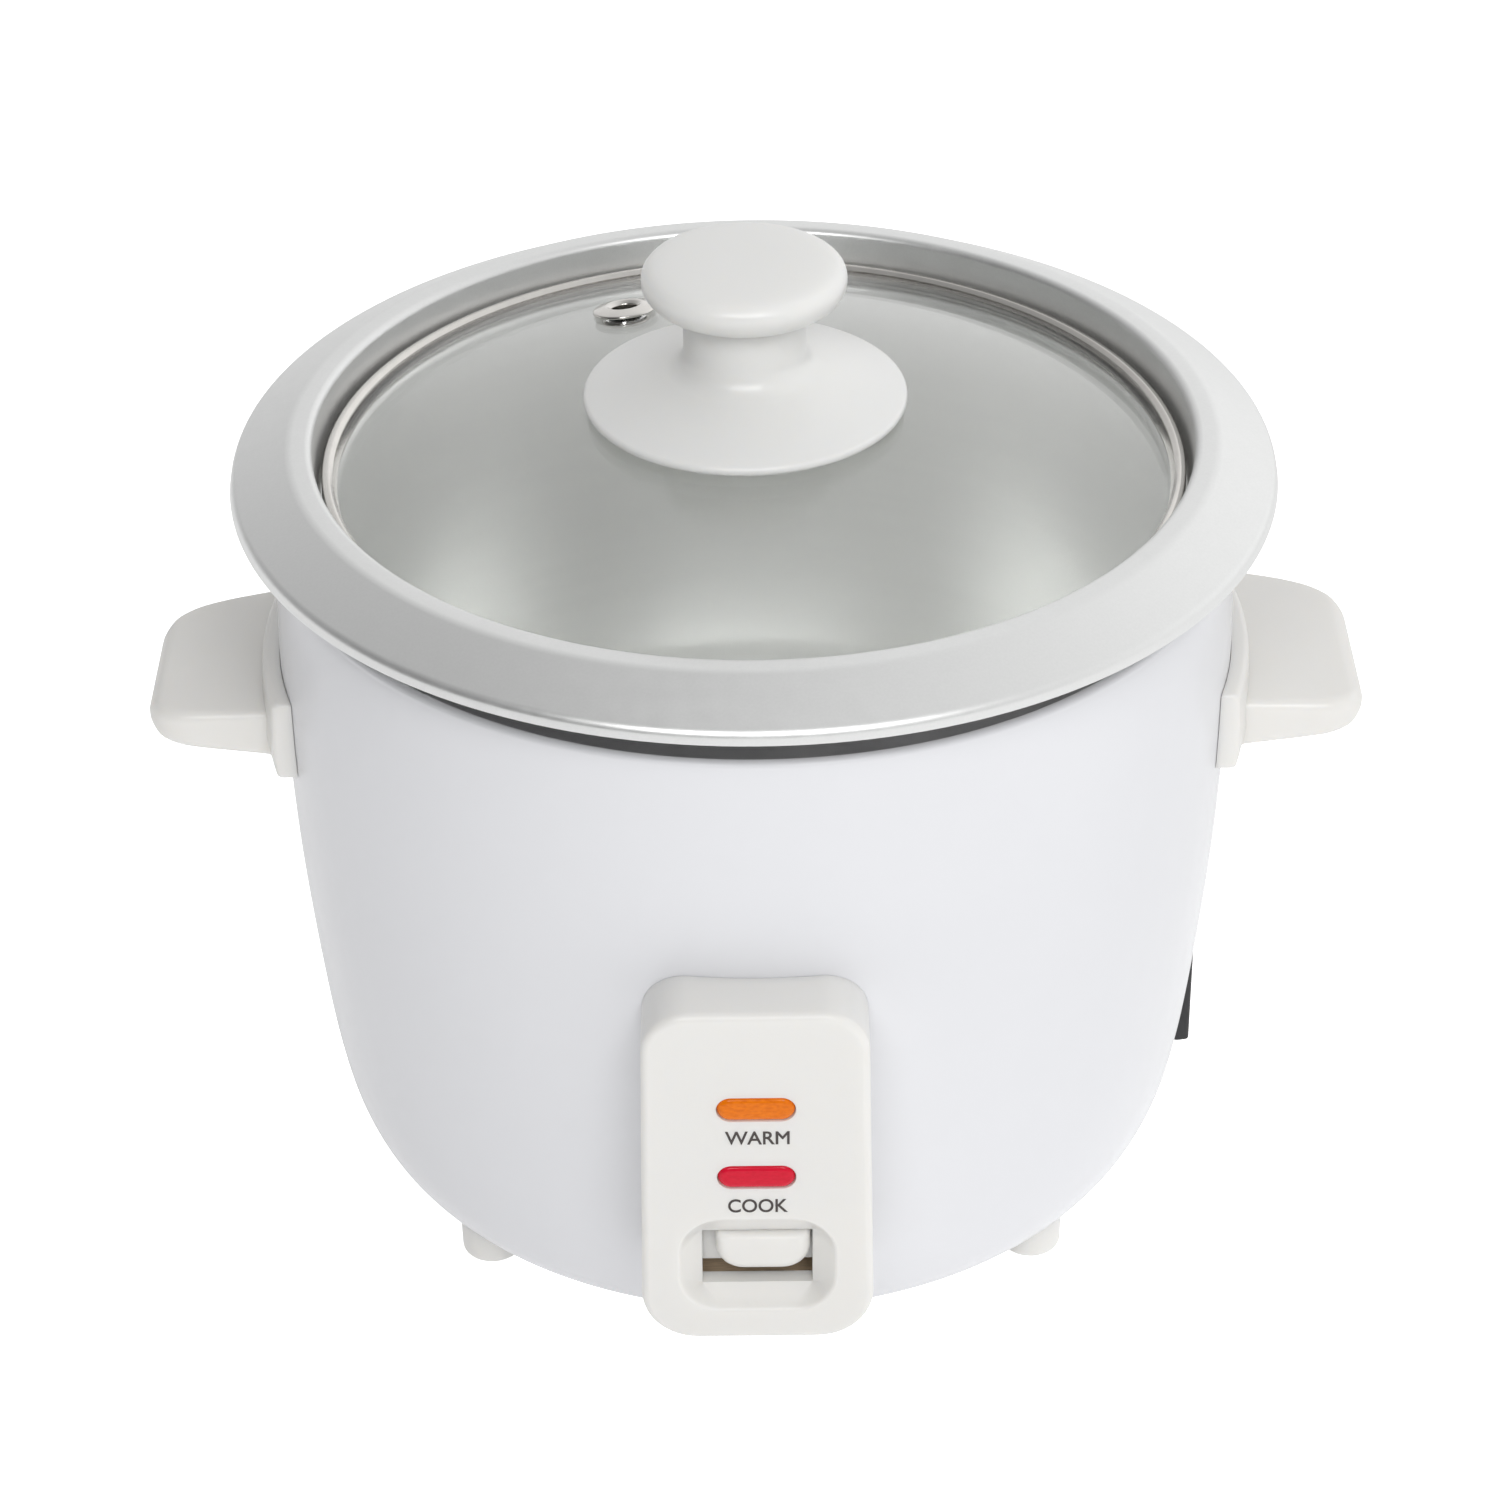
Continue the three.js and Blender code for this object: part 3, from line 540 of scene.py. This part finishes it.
SLOT_MATERIALS = {
    "shell_paint": SHELL_PAINT, "white_plastic": IVORY, "pot_aluminium": BRIM_SILVER,
    "chamber_aluminium": CHAMBER_DARK_FOR_SHADE, "cast_aluminium": CAST, "stainless": STAINLESS,
    "steel": STEEL, "zinc_plate": ZINC, "lid_glass": GLASS, "black_plastic": BLACK,
    "phenolic": PHENOLIC_LIGHTENED, "ferrite": FERRITE, "silicone": SILICONE, "amber_lens": AMBER,
    "red_lens": RED, "lamp_glass": LAMP_GLASS, "lead_black": LEAD_BLACK, "lead_pale": LEAD_PALE,
}

for entry in frame["record"]["subparts"]:
    carried = frame["nodes"][entry["node"]].data
    carried.materials.clear()
    carried.materials.append(SLOT_MATERIALS[entry["material_slot"]])


# ---- Shell and heat chamber ----

SHELL_WALL = 0.8
SHELL_SIDE = curve([
    (62, 5.6), (72, 5.6), (79.2, 7.4), (83.4, 11.4), (86.7, 18.4), (89, 28), (91.2, 44), (94, 74),
    (95.3, 102), (95.5, 124), (94.7, 142), (94.25, 146.2),
])


def shell_space(grown):
    """A solid of all that the shell encloses, a little larger, to cut from what sits against it."""
    side = sideways(SHELL_SIDE, -grown)
    return lathe("shell_space", [Vector((0, side[0].y)), *side, Vector((0, side[-1].y))])


def shell():
    rim = rounded([(94.25, 146.2), (94.25, 147.4, 1.15), (91.8, 147.4, 1.15), (91.8, 144.8)], 6, False)
    inside = sideways(SHELL_SIDE[:-4], SHELL_WALL)
    outline = SHELL_SIDE[:-1] + rim + inside[::-1]
    piece = lathe("outer_shell_skin", outline, 192)
    lever_way = join(
        block("lever_way", -5.4, 5.4, -100, -70, 30, 60),
        block("switch_way", -12.5, 12.5, -100, -70, 26, 35.4),
    )
    inlet_way = turn_about_axis(block("inlet_way", 70, 100, -13.6, 13.6, 14.4, 35.2), INLET_TURN)
    cut(piece, lever_way, inlet_way)
    deliver(piece, "cooker", "shell_paint", [SHELL_PAINT], "outer_shell")


def chamber():
    line = rounded([
        (44, 38.4), (83.6, 38.4, 11), (83.6, 145.6, 0.7), (91.3, 145.6),
    ], 10, False)
    piece = lathe("heat_chamber_liner", sheet_outline(line, 0.8), 160)
    deliver(piece, "cooker", "chamber_aluminium", [CHAMBER_DARK_FOR_SHADE], "heat_chamber")


def heater():
    low, high = box_mm("hot_plate")
    radius = high.x
    grooves = []
    step = 3.0
    r = radius - 4
    while r > 22:
        grooves += [(r, high.z), (r - step * 0.4, high.z - 0.15), (r - step * 0.8, high.z)]
        r -= step
    corners = [(16, low.z), (radius, low.z, 1.5), (radius, high.z, 1), (radius - 2, high.z)]
    outline = rounded(corners, 5, False) + [Vector(g) for g in grooves]
    outline += rounded([(20, high.z), (16, high.z, 0.6), (16, low.z)], 3, False)[:-1]
    plate = lathe("hot_plate_turned", outline)
    deliver(plate, "cooker", "cast_aluminium", [CAST], "hot_plate")

    top = box_mm("sensor_cap")[1].z
    cap = rounded([
        (0, top - 1.2), (13.9, top - 1.2, 1.0), (13.9, 38.7), (15, 38.7), (15, top, 1.4), (0, top),
    ], 5, False)
    deliver(lathe("sensor_cap_pressed", cap, 64), "sensor", "cast_aluminium", [CAST], "sensor_cap")


def spring(node, wire, turns):
    """A coil spring, wound to fill the box of the CAD node that it replaces."""
    low, high = box_mm(node)
    radius = high.x - wire
    bottom, top = low.z + wire, high.z - wire
    rings = []
    steps = turns * 24
    for k in range(steps + 1):
        angle = 2 * math.pi * turns * k / steps
        height = bottom + (top - bottom) * k / steps
        rings.append([])
        for j in range(8):
            around = 2 * math.pi * j / 8
            out = radius + wire * math.cos(around)
            level = height + wire * math.sin(around)
            rings[-1].append((out * math.cos(angle), out * math.sin(angle), level))
    piece = loft(f"{node}_wound", rings, 60)
    piece.data.materials.append(STEEL)
    start, end = [(Vector((0, 0, z)) + AXIS) * MM for z in (low.z, high.z)]
    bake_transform(piece)
    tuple(start)
    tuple(end)
    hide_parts(node)


# ---- Pot ----

POT_WALL = 1.2
LEDGE = 153.6


def pot():
    inside = rounded([
        (0, 49.2), (80.7, 49.2, 18.3), (80.7, LEDGE, 1.5), (86, LEDGE, 0.9), (86.4, 165.35, 1.5),
        (91.1, 165.15, 4), (102.35, 159.1, 2.2), (BRIM_RADIUS, 156.8),
    ], 10, False)
    outline = sheet_outline(inside, POT_WALL)
    outline[-1].x = 0

    def zone(radius, height):
        return 0 if radius > 85.9 and height > LEDGE + 2 else 1

    piece = lathe("inner_pot_spun", outline, 192, zone)
    deliver(piece, "pot", "pot_aluminium", [BRIM_SILVER, POT_SATIN], "inner_pot")


# ---- Lid ----

GLASS_RADIUS = 83.8
GLASS_THICKNESS = 3.2
GLASS_EDGE = 157.9
DOME_RADIUS = 235.8
VENT_RADIUS = 52.2
VENT_ANGLE = math.radians(119.8)


def glass_top(radius):
    return GLASS_EDGE + (GLASS_RADIUS**2 - radius**2) / (2 * DOME_RADIUS)


def at_vent(piece):
    """Moves a piece made on the axis to the steam vent, square to the dome."""
    tilt = Matrix.Rotation(math.asin(VENT_RADIUS / DOME_RADIUS), 4, "Y")
    out = Matrix.Translation(Vector((VENT_RADIUS, 0, glass_top(VENT_RADIUS))) * MM)
    round_axis = Matrix.Rotation(VENT_ANGLE, 4, "Z")
    centre = Matrix.Translation(AXIS * MM)
    piece.data.transform(centre @ round_axis @ out @ tilt @ centre.inverted())
    return piece


def lid_glass():
    radii = [GLASS_RADIUS * k / 24 for k in range(24)]
    over = [Vector((r, glass_top(r))) for r in radii]
    under = [p - Vector((0, GLASS_THICKNESS)) for p in over]
    edge = rounded([
        (radii[-1], glass_top(radii[-1])), (GLASS_RADIUS, GLASS_EDGE, 1.2),
        (GLASS_RADIUS, GLASS_EDGE - GLASS_THICKNESS, 1.2), (radii[-1], under[-1].y),
    ], 5, False)[1:-1]
    piece = lathe("lid_dome", [*over, *edge, *under[::-1]], 160)
    cut(piece, at_vent(rod("vent_hole", 4.5, (0, 0, -10), (0, 0, 10), 48)))
    deliver(piece, "lid", "lid_glass", [GLASS], "lid_glass")


def lid_ring():
    low, high = box_mm("lid_ring")
    outer, bottom, top = high.x, LEDGE + 0.3, high.z - 0.8
    line = rounded([
        (82.6, top - 0.7), (83.4, top, 0.7), (outer, top, 1.2), (outer, bottom, 0.9), (81.1, bottom),
    ], 7, False)
    piece = lathe("lid_rim", sheet_outline(line, 0.5), 192)
    deliver(piece, "lid", "stainless", [STAINLESS], "lid_ring")


KNOB_SHIFT = -1.5  # as in the photo; the CAD knob and the bore of this one are on the axis


def lid_knob():
    skirt = rounded([
        (8, 173.2), (8.6, 176, 0.6), (28.6, 172.4, 1.0), (29.6, 171.2, 0.4), (31.6, 171.2, 0.9),
        (31.7, 172.9, 1.0), (11.95, 179.3, 5.0), (11.95, 192.3, 0.5), (12.8, 192.5),
    ], 8, False)
    disc = curve([
        (12.8, 192.5), (16.3, 193), (18.75, 194.4), (19.85, 196.7), (19.3, 199.2), (16.7, 200.75),
        (9, 201.6), (0, 201.8),
    ], 8)
    piece = lathe("lid_knob_moulded", [Vector((0, 173.2)), *skirt, *disc[1:]], 128)
    piece.data.transform(Matrix.Translation(Vector((KNOB_SHIFT, 0, 0)) * MM))
    cut(piece, rod("bore", 2.6, (0, 0, 170), (0, 0, 187), 48))
    deliver(piece, "lid", "white_plastic", [KNOB_WHITE], "lid_knob")


def vent_grommet():
    outline = rounded([
        (2.7, -4.2), (4.9, -4.2, 0.3), (4.9, -3.7, 0.2), (4.1, -3.5, 0.3), (4.1, 0.25, 0.2), (6.7, 0.25, 0.3),
        (6.5, 0.9, 0.4), (3.6, 1.7, 0.9), (2.7, 0.9, 0.5),
    ], 5)
    piece = at_vent(lathe("vent_eyelet", outline, 64))
    deliver(piece, "lid", "stainless", [STAINLESS], "vent_grommet")


# ---- Switch housing ----

FACE = HOUSING_LOW.y
HALF_TOP = 21.1
HALF_BOTTOM = HOUSING_HIGH.x
CORNER = 9.0
RECESS_DEPTH = 4.4
WINDOW_LOW, WINDOW_HIGH, WINDOW_HALF = 34.0, 46.9, 10.6
RECESS_MIDDLE = 41.6
RECESS_HALF_HEIGHT = 10.85
RECESS_HALF_WIDTH = 14.65
RECESS_CORNER = 8
HOUSING_WALL = 2.3
HOUSING_SHIFT = -0.9  # as in the photo; the CAD housing is on the axis
LENS_WIDTH, LENS_HEIGHT = 14.7, 5.3
LENS_GAP = 0.12


def housing_outline(inset, radius=CORNER):
    r = max(radius - inset, 1)
    low_r = r * 1.2
    low, high = HOUSING_LOW.z + inset, HOUSING_HIGH.z - inset
    line = rounded([
        (inset - HALF_BOTTOM, low, low_r), (HALF_BOTTOM - inset, low, low_r),
        (HALF_TOP - inset, high, r), (inset - HALF_TOP, high, r),
    ], 12)
    return [p + Vector((HOUSING_SHIFT, 0)) for p in line]


def pill(width, height, middle, x=0.0):
    """An outline function of a slot with round ends."""
    def outline(inset):
        r = height / 2 - inset
        half = width / 2 - inset
        return rounded([
            (x - half, middle - r, r - 0.01), (x + half, middle - r, r - 0.01),
            (x + half, middle + r, r - 0.01), (x - half, middle + r, r - 0.01),
        ], 10)
    return outline


def recess_tool():
    """The finger recess: a mouth with a rounded lip, and sides that slope in to the window."""
    def ring(share, lip):
        mouth_low = RECESS_MIDDLE - RECESS_HALF_HEIGHT
        mouth_high = RECESS_MIDDLE + RECESS_HALF_HEIGHT
        half = RECESS_HALF_WIDTH + (WINDOW_HALF + 0.1 - RECESS_HALF_WIDTH) * share + lip
        low = mouth_low + (WINDOW_LOW - 0.1 - mouth_low) * share - lip
        high = mouth_high + (WINDOW_HIGH + 0.1 - mouth_high) * share + lip
        radius = RECESS_CORNER + (0.3 - RECESS_CORNER) * share + lip
        return rounded([
            (-half, low, radius), (half, low, radius), (half, high, radius), (-half, high, radius),
        ], 10)
    rings = []
    for depth, share, lip in (
        (-1.0, 0, 1.6), (-0.02, 0, 0.75), (0.05, 0, 0.5), (0.2, 0, 0.22), (0.45, 0.02, 0.05), (0.8, 0.08, 0),
        (1.6, 0.26, 0), (2.6, 0.52, 0), (3.5, 0.76, 0), (RECESS_DEPTH, 1, 0),
    ):
        rings.append([(p.x + HOUSING_SHIFT, FACE + depth, p.y) for p in ring(share, lip)])
    return loft("recess", rings)


def switch_housing():
    piece = loft("housing_moulded", along_y(housing_outline, edge_stations(-70, FACE, 1.6, 9)))
    pocket_stations = [(-60, 0), (FACE + HOUSING_WALL, 0)]
    pocket = loft("pocket", along_y(lambda inset: housing_outline(HOUSING_WALL, 6.5), pocket_stations))
    thick = block("thick", -19, 19, FACE + HOUSING_WALL - 1, FACE + RECESS_DEPTH + 3.2, 27, 56)
    cut(pocket, thick, *[rod("boss", 3, (x, FACE, 33), (x, -60, 33)) for x in (-16, 16)])
    left, right = HOUSING_SHIFT - WINDOW_HALF, HOUSING_SHIFT + WINDOW_HALF
    window = block("window", left, right, FACE + 3, -90, WINDOW_LOW, WINDOW_HIGH)
    slots = []
    for node in ("warm_lens", "cook_lens"):
        low, high = box_mm(node)
        middle = (low.z + high.z) / 2
        hole = pill(LENS_WIDTH + 2 * LENS_GAP, LENS_HEIGHT + 2 * LENS_GAP, middle, HOUSING_SHIFT)
        slots.append(loft("slot", along_y(hole, [(-99, 0), (FACE - 2, 0)])))
    cut(piece, shell_space(0.15), pocket, recess_tool(), window, *slots)
    for side in (-1, 1):
        inner, edge, outer = side * 5.5, side * 12, side * 13.4
        guard = block("guard", min(inner, outer), max(inner, outer), -98.9, -97.7, 36.6, 52)
        web = block("web", min(edge, outer), max(edge, outer), -100.2, -97.8, 36.6, 52)
        join(piece, join(guard, web))
    flat_faces_first(piece)
    deliver(piece, "cooker", "white_plastic", [IVORY], "switch_housing")


def lenses():
    for node, material in (("warm_lens", AMBER), ("cook_lens", RED)):
        low, high = box_mm(node)
        middle = (low.z + high.z) / 2
        stations = edge_stations(FACE + 3.2, low.y, 1.3, 8)
        y, inset = stations[-1]
        stations += [(y - 0.06, inset + 0.7), (y - 0.08, inset + 1.2)]
        stations = [(y + 0.08, inset) for y, inset in stations]
        outline = pill(LENS_WIDTH, LENS_HEIGHT, middle, HOUSING_SHIFT)
        piece = loft(f"{node}_domed", along_y(outline, stations), 50)
        deliver(piece, "cooker", f"{'amber' if node == 'warm_lens' else 'red'}_lens", [material], node)


def label(name, words, width, height, middle, x):
    """Plain printed words on the front of the housing."""
    text = bpy.data.curves.new(name, "FONT")
    text.body = words
    text.align_x = "CENTER"
    text.resolution_u = 6
    text.extrude = 0.5
    text.bevel_depth = 0.013
    text.bevel_resolution = 0
    holder = bpy.data.objects.new(name, text)
    bpy.context.scene.collection.objects.link(holder)
    mesh = bpy.data.meshes.new_from_object(holder.evaluated_get(bpy.context.evaluated_depsgraph_get()))
    bpy.data.objects.remove(holder)
    points = [v.co for v in mesh.vertices]
    low = Vector([min(p[i] for p in points) for i in range(2)])
    high = Vector([max(p[i] for p in points) for i in range(2)])
    for v in mesh.vertices:
        across = (v.co.x - (low.x + high.x) / 2) / (high.x - low.x) * width + x
        up = (v.co.y - (low.y + high.y) / 2) / (high.y - low.y) * height + middle
        v.co = (Vector((across, FACE - 0.01 + v.co.z * 0.06, up)) + AXIS) * MM
    piece = bpy.data.objects.new(name, mesh)
    bpy.context.scene.collection.objects.link(piece)
    mesh.materials.append(INK)
    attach(piece, "cooker")


def cook_lever():
    low, high = box_mm("cook_lever")
    def outline(inset):
        r = 5.3 - inset * 0.6
        z0, z1 = low.z + inset, high.z - inset * 0.3
        x0, x1 = low.x + HOUSING_SHIFT + inset * 0.8, high.x + HOUSING_SHIFT - inset * 0.8
        return rounded([(x0, z0, r), (x1, z0, r), (x1, z1, 1.2), (x0, z1, 1.2)], 8)
    stations = [(-99.4, 0.8), (-99.8, 0.2), (-100.4, 0)] + edge_stations(-100.6, low.y, 3.0, 9)[1:]
    piece = loft("cook_lever_moulded", along_y(outline, stations))
    stem = block("stem", -3.5, 3.5, -99.9, -86, 41.5, 45)
    join(piece, stem)
    deliver(piece, "lever", "white_plastic", [IVORY], "cook_lever")


# ---- Handles ----

BAND_RADIUS = 99.1
BAND_FRONT, BAND_BACK = -28.5, 37
GRIP_TOP = 112.8
GRIP_FRONT = -21.4
GRIP_BACK = {"right_handle": 26.6, "left_handle": 22.4}
GRIP_CORNER = 9
GRIP_ROUND = 3.4


def band_rings():
    """The curved bracket: its section in radius and height, carried along Y."""
    def section(inset):
        low, high = HANDLE_BAND_LOW + inset, HANDLE_BAND_HIGH - inset
        outer = BAND_RADIUS - inset
        return rounded([
            (91.0, low), (outer, low, 0.8), (outer + 0.7, low + 6, 4.0), (outer, high, 1.3), (91.0, high),
        ], 6, closed=False)
    ends = [(0, 0.9), (0.15, 0.4), (0.45, 0.12), (0.9, 0)]
    stations = [(BAND_FRONT + d, inset) for d, inset in ends]
    stations += [(y, 0) for y in range(-26, 36, 2)]
    stations += [(BAND_BACK - d, inset) for d, inset in reversed(ends)]
    return [[(math.sqrt(p.x**2 - y**2), y, p.y) for p in section(inset)] for y, inset in stations]


def grip_rings(far):
    """The grip, as rounded sections from the bracket to the tip. far places its sloping back edge."""
    flare_radius = 0.5
    tip = HANDLE_REACH + 0.3 - BAND_RADIUS
    distances = [-1.2, 0, 0.15, 0.45, 0.9, 1.6, 3, 5, 7.5, 10, 12.5]
    distances += [tip - 8 + 8 * math.sin(math.pi / 2 * k / 12) for k in range(13)]
    rings = []
    for d in distances:
        near = max(flare_radius - max(d, 0), 0)
        flare = flare_radius - math.sqrt(flare_radius**2 - near**2)
        share = min(max(d / 12, 0), 1)
        share = share * share * (3 - 2 * share)
        plan = GRIP_CORNER - math.sqrt(max(GRIP_CORNER**2 - max(d - tip + GRIP_CORNER, 0) ** 2, 0))
        deep = GRIP_ROUND - math.sqrt(max(GRIP_ROUND**2 - max(d - tip + GRIP_ROUND, 0) ** 2, 0))
        front = GRIP_FRONT - flare + plan * 0.9
        back = far + 6.6 - 0.45 * d + flare - plan
        top = GRIP_TOP + flare - deep
        bottom = 102.6 + 2.9 * max(d, 0) / tip - flare + deep * 0.9
        edge = min(1.4 + 1.4 * max(d, 0) / tip, (top - bottom) / 2 - 0.05)
        section = rounded([
            (front, bottom, edge), (back, bottom, edge), (back, top, edge), (front, top, edge),
        ], 6)
        rings.append([
            ((1 - share) * math.sqrt(BAND_RADIUS**2 - p.x**2) + share * BAND_RADIUS + d, p.x, p.y)
            for p in section
        ])
    return rings


def handles():
    for name, side in (("right_handle", 1), ("left_handle", -1)):
        band = loft("band", band_rings())
        piece = loft(f"{name}_moulded", grip_rings(GRIP_BACK[name]))
        cut(join(piece, band), shell_space(0.12))
        if side < 0:
            centre = Matrix.Translation(AXIS * MM)
            piece.data.transform(centre @ Matrix.Scale(-1, 4, (1, 0, 0)) @ centre.inverted())
            piece.data.flip_normals()
        flat_faces_first(piece)
        deliver(piece, "cooker", "white_plastic", [IVORY], name)


# ---- Feet, inlet and bottom ----

def feet():
    for number in (1, 2, 3, 4):
        low, high = box_mm(f"foot_screw_{number}")
        x, y = (low.x + high.x) / 2, (low.y + high.y) / 2
        towards = math.atan2(-y, -x)
        post = rounded([(3.4, 0), (6.2, 0, 1.5), (6.45, 14), (1.8, 14), (1.8, 3.5), (3.4, 3.5)], 6)
        piece = lathe(f"foot_{number}_moulded", post, 48)
        rib = loft("rib", [
            [(d, w, z) for w, z in ((-3.4, low_z), (3.4, low_z), (3.0, 6), (-3.0, 6))]
            for d, low_z in ((3.5, 0.35), (5, 0.7), (17, 4.0))
        ])
        join(piece, rib)
        centre = Matrix.Translation(AXIS * MM)
        spot = Matrix.Translation(Vector((x, y, 0)) * MM)
        piece.data.transform(centre @ spot @ Matrix.Rotation(towards, 4, "Z") @ centre.inverted())
        cut(piece, shell_space(0.12))
        deliver(piece, "cooker", "white_plastic", [IVORY], f"foot_{number}")


INLET_TURN = math.radians(9.5)
INLET_FACE = 91.5


def power_inlet():
    def across(name, x0, x1, y0, y1, z0, z1, radius):
        """A block whose rounded edges run along X."""
        made = block(name, -y1, -y0, x0, x1, z0, z1, radius)
        return turn_about_axis(made, math.radians(-90))
    body = across("inlet_body_moulded", 72, INLET_FACE - 1.6, -13.8, 13.8, 12.4, 35.1, 1.0)
    plate = across("plate", INLET_FACE - 3.4, INLET_FACE, -14.5, 14.5, 12.9, 36.5, 0.8)
    socket = across("socket", 76, 100, -11, 11, 17.4, 32, 1.5)
    join(body, plate)
    cut(body, socket)
    turn_about_axis(body, INLET_TURN)
    flat_faces_first(body)
    deliver(body, "cooker", "black_plastic", [BLACK], "power_inlet")


def bottom_cover():
    low, high = box_mm("bottom_cover")
    outline = rounded([(0, low.z), (high.x, low.z, 0.4), (high.x, high.z, 0.4), (0, high.z)], 3, False)
    piece = lathe("bottom_cover_pressed", outline, 128)
    slots = []
    for k in range(6):
        slot = loft("slot", [[(p.x, p.y, z) for p in pill(20, 3.2, 0, 34)(0)] for z in (0, 10)])
        slots.append(turn_about_axis(slot, 2 * math.pi * (k + 0.5) / 6))
    cut(piece, *slots)
    deliver(piece, "cooker", "zinc_plate", [ZINC], "bottom_cover")


shell()
chamber()
heater()
spring("sensor_spring", 0.6, 4)
spring("magnet_spring", 0.45, 4)
pot()
lid_glass()
lid_ring()
lid_knob()
vent_grommet()
switch_housing()
lenses()
label("warm_label", "WARM", 12.1, 3.1, 72.5, HOUSING_SHIFT + 0.2)
label("cook_label", "COOK", 11.3, 3.2, 56.3, HOUSING_SHIFT + 0.2)
cook_lever()
handles()
feet()
power_inlet()
bottom_cover()


# ---- Camera, light and floor ----

CAMERA_PLACE = Vector((-0.00131, -0.73939, 0.57174))
CAMERA_PITCH = math.radians(33.0425)
CAMERA_ROLL = 0.0104


def camera():
    lens_data = bpy.data.cameras.new("camera")
    lens_data.lens = 103.29
    lens_data.sensor_width = 36
    lens_data.clip_start = 0.01
    holder = bpy.data.objects.new("camera", lens_data)
    bpy.context.scene.collection.objects.link(holder)
    facing = Euler((math.pi / 2 - CAMERA_PITCH, 0, 0)).to_matrix().to_4x4()
    holder.matrix_world = (
        Matrix.Translation(CAMERA_PLACE) @ facing @ Matrix.Rotation(-CAMERA_ROLL, 4, "Z")
    )
    bpy.context.scene.camera = holder


def softbox(name, azimuth, elevation, distance, width, height, power):
    """A soft light that faces the cooker. Azimuth is from the front, positive to the right."""
    data = bpy.data.lights.new(name, "AREA")
    data.shape = "RECTANGLE"
    data.size, data.size_y = width, height
    data.energy = power
    holder = bpy.data.objects.new(name, data)
    bpy.context.scene.collection.objects.link(holder)
    a, e = math.radians(azimuth), math.radians(elevation)
    middle = Vector((0, 0, 0.1))
    way = Vector((math.sin(a) * math.cos(e), -math.cos(a) * math.cos(e), math.sin(e)))
    holder.location = middle + way * distance
    holder.rotation_euler = way.to_track_quat("Z", "Y").to_euler()


SKY_SLOPE = (0.42, 0.36, 0.0)  # how much brighter the sky gets towards +X and +Y
SKY_LEVEL = 0.58
SOFTBOX_ELEVATION = 40
SOFTBOX_DISTANCE = 1.4


def studio():
    world = bpy.data.worlds.new("studio")
    bpy.context.scene.world = world
    world.use_nodes = True
    nodes, links = world.node_tree.nodes, world.node_tree.links
    direction = nodes.new("ShaderNodeTexCoord").outputs["Generated"]
    towards = nodes.new("ShaderNodeVectorMath")
    towards.operation = "DOT_PRODUCT"
    towards.inputs[1].default_value = SKY_SLOPE
    links.new(direction, towards.inputs[0])
    brightness = nodes.new("ShaderNodeMath")
    brightness.inputs[1].default_value = SKY_LEVEL
    links.new(towards.outputs["Value"], brightness.inputs[0])
    nodes["Background"].inputs["Color"].default_value = (1, 1, 1, 1)
    links.new(brightness.outputs["Value"], nodes["Background"].inputs["Strength"])
    softbox("softbox_right", 16, SOFTBOX_ELEVATION, SOFTBOX_DISTANCE, 0.4, 0.45, 4.9)
    softbox("softbox_left", -14, SOFTBOX_ELEVATION, SOFTBOX_DISTANCE, 0.4, 0.45, 4.1)
    view = bpy.context.scene.view_settings
    view.view_transform = "Standard"

    paper = Surface("floor_paper", (0.90, 0.90, 0.90), 0.9)
    paper.mottle(400, 0.004)
    paper.shader.inputs["Emission Color"].default_value = (1, 1, 1, 1)
    seen = paper.node("ShaderNodeLightPath").outputs["Is Camera Ray"]
    paper.link(paper.ranged(seen, 0.26, 1.0, 0, 1), paper.shader.inputs["Emission Strength"])
    mesh = bpy.data.meshes.new("floor")
    reach = 6.0
    mesh.from_pydata([(-reach, -reach, 0), (reach, -reach, 0), (reach, reach, 0), (-reach, reach, 0)],
                     [], [(0, 1, 2, 3)])
    floor = bpy.data.objects.new("floor", mesh)
    mesh.materials.append(paper.material)
    bpy.context.scene.collection.objects.link(floor)
    floor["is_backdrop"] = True


camera()
studio()

boxes = {"cad": CAD_BOX, "visual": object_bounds()}
{name: [list(corner) for corner in box] for name, box in boxes.items()}
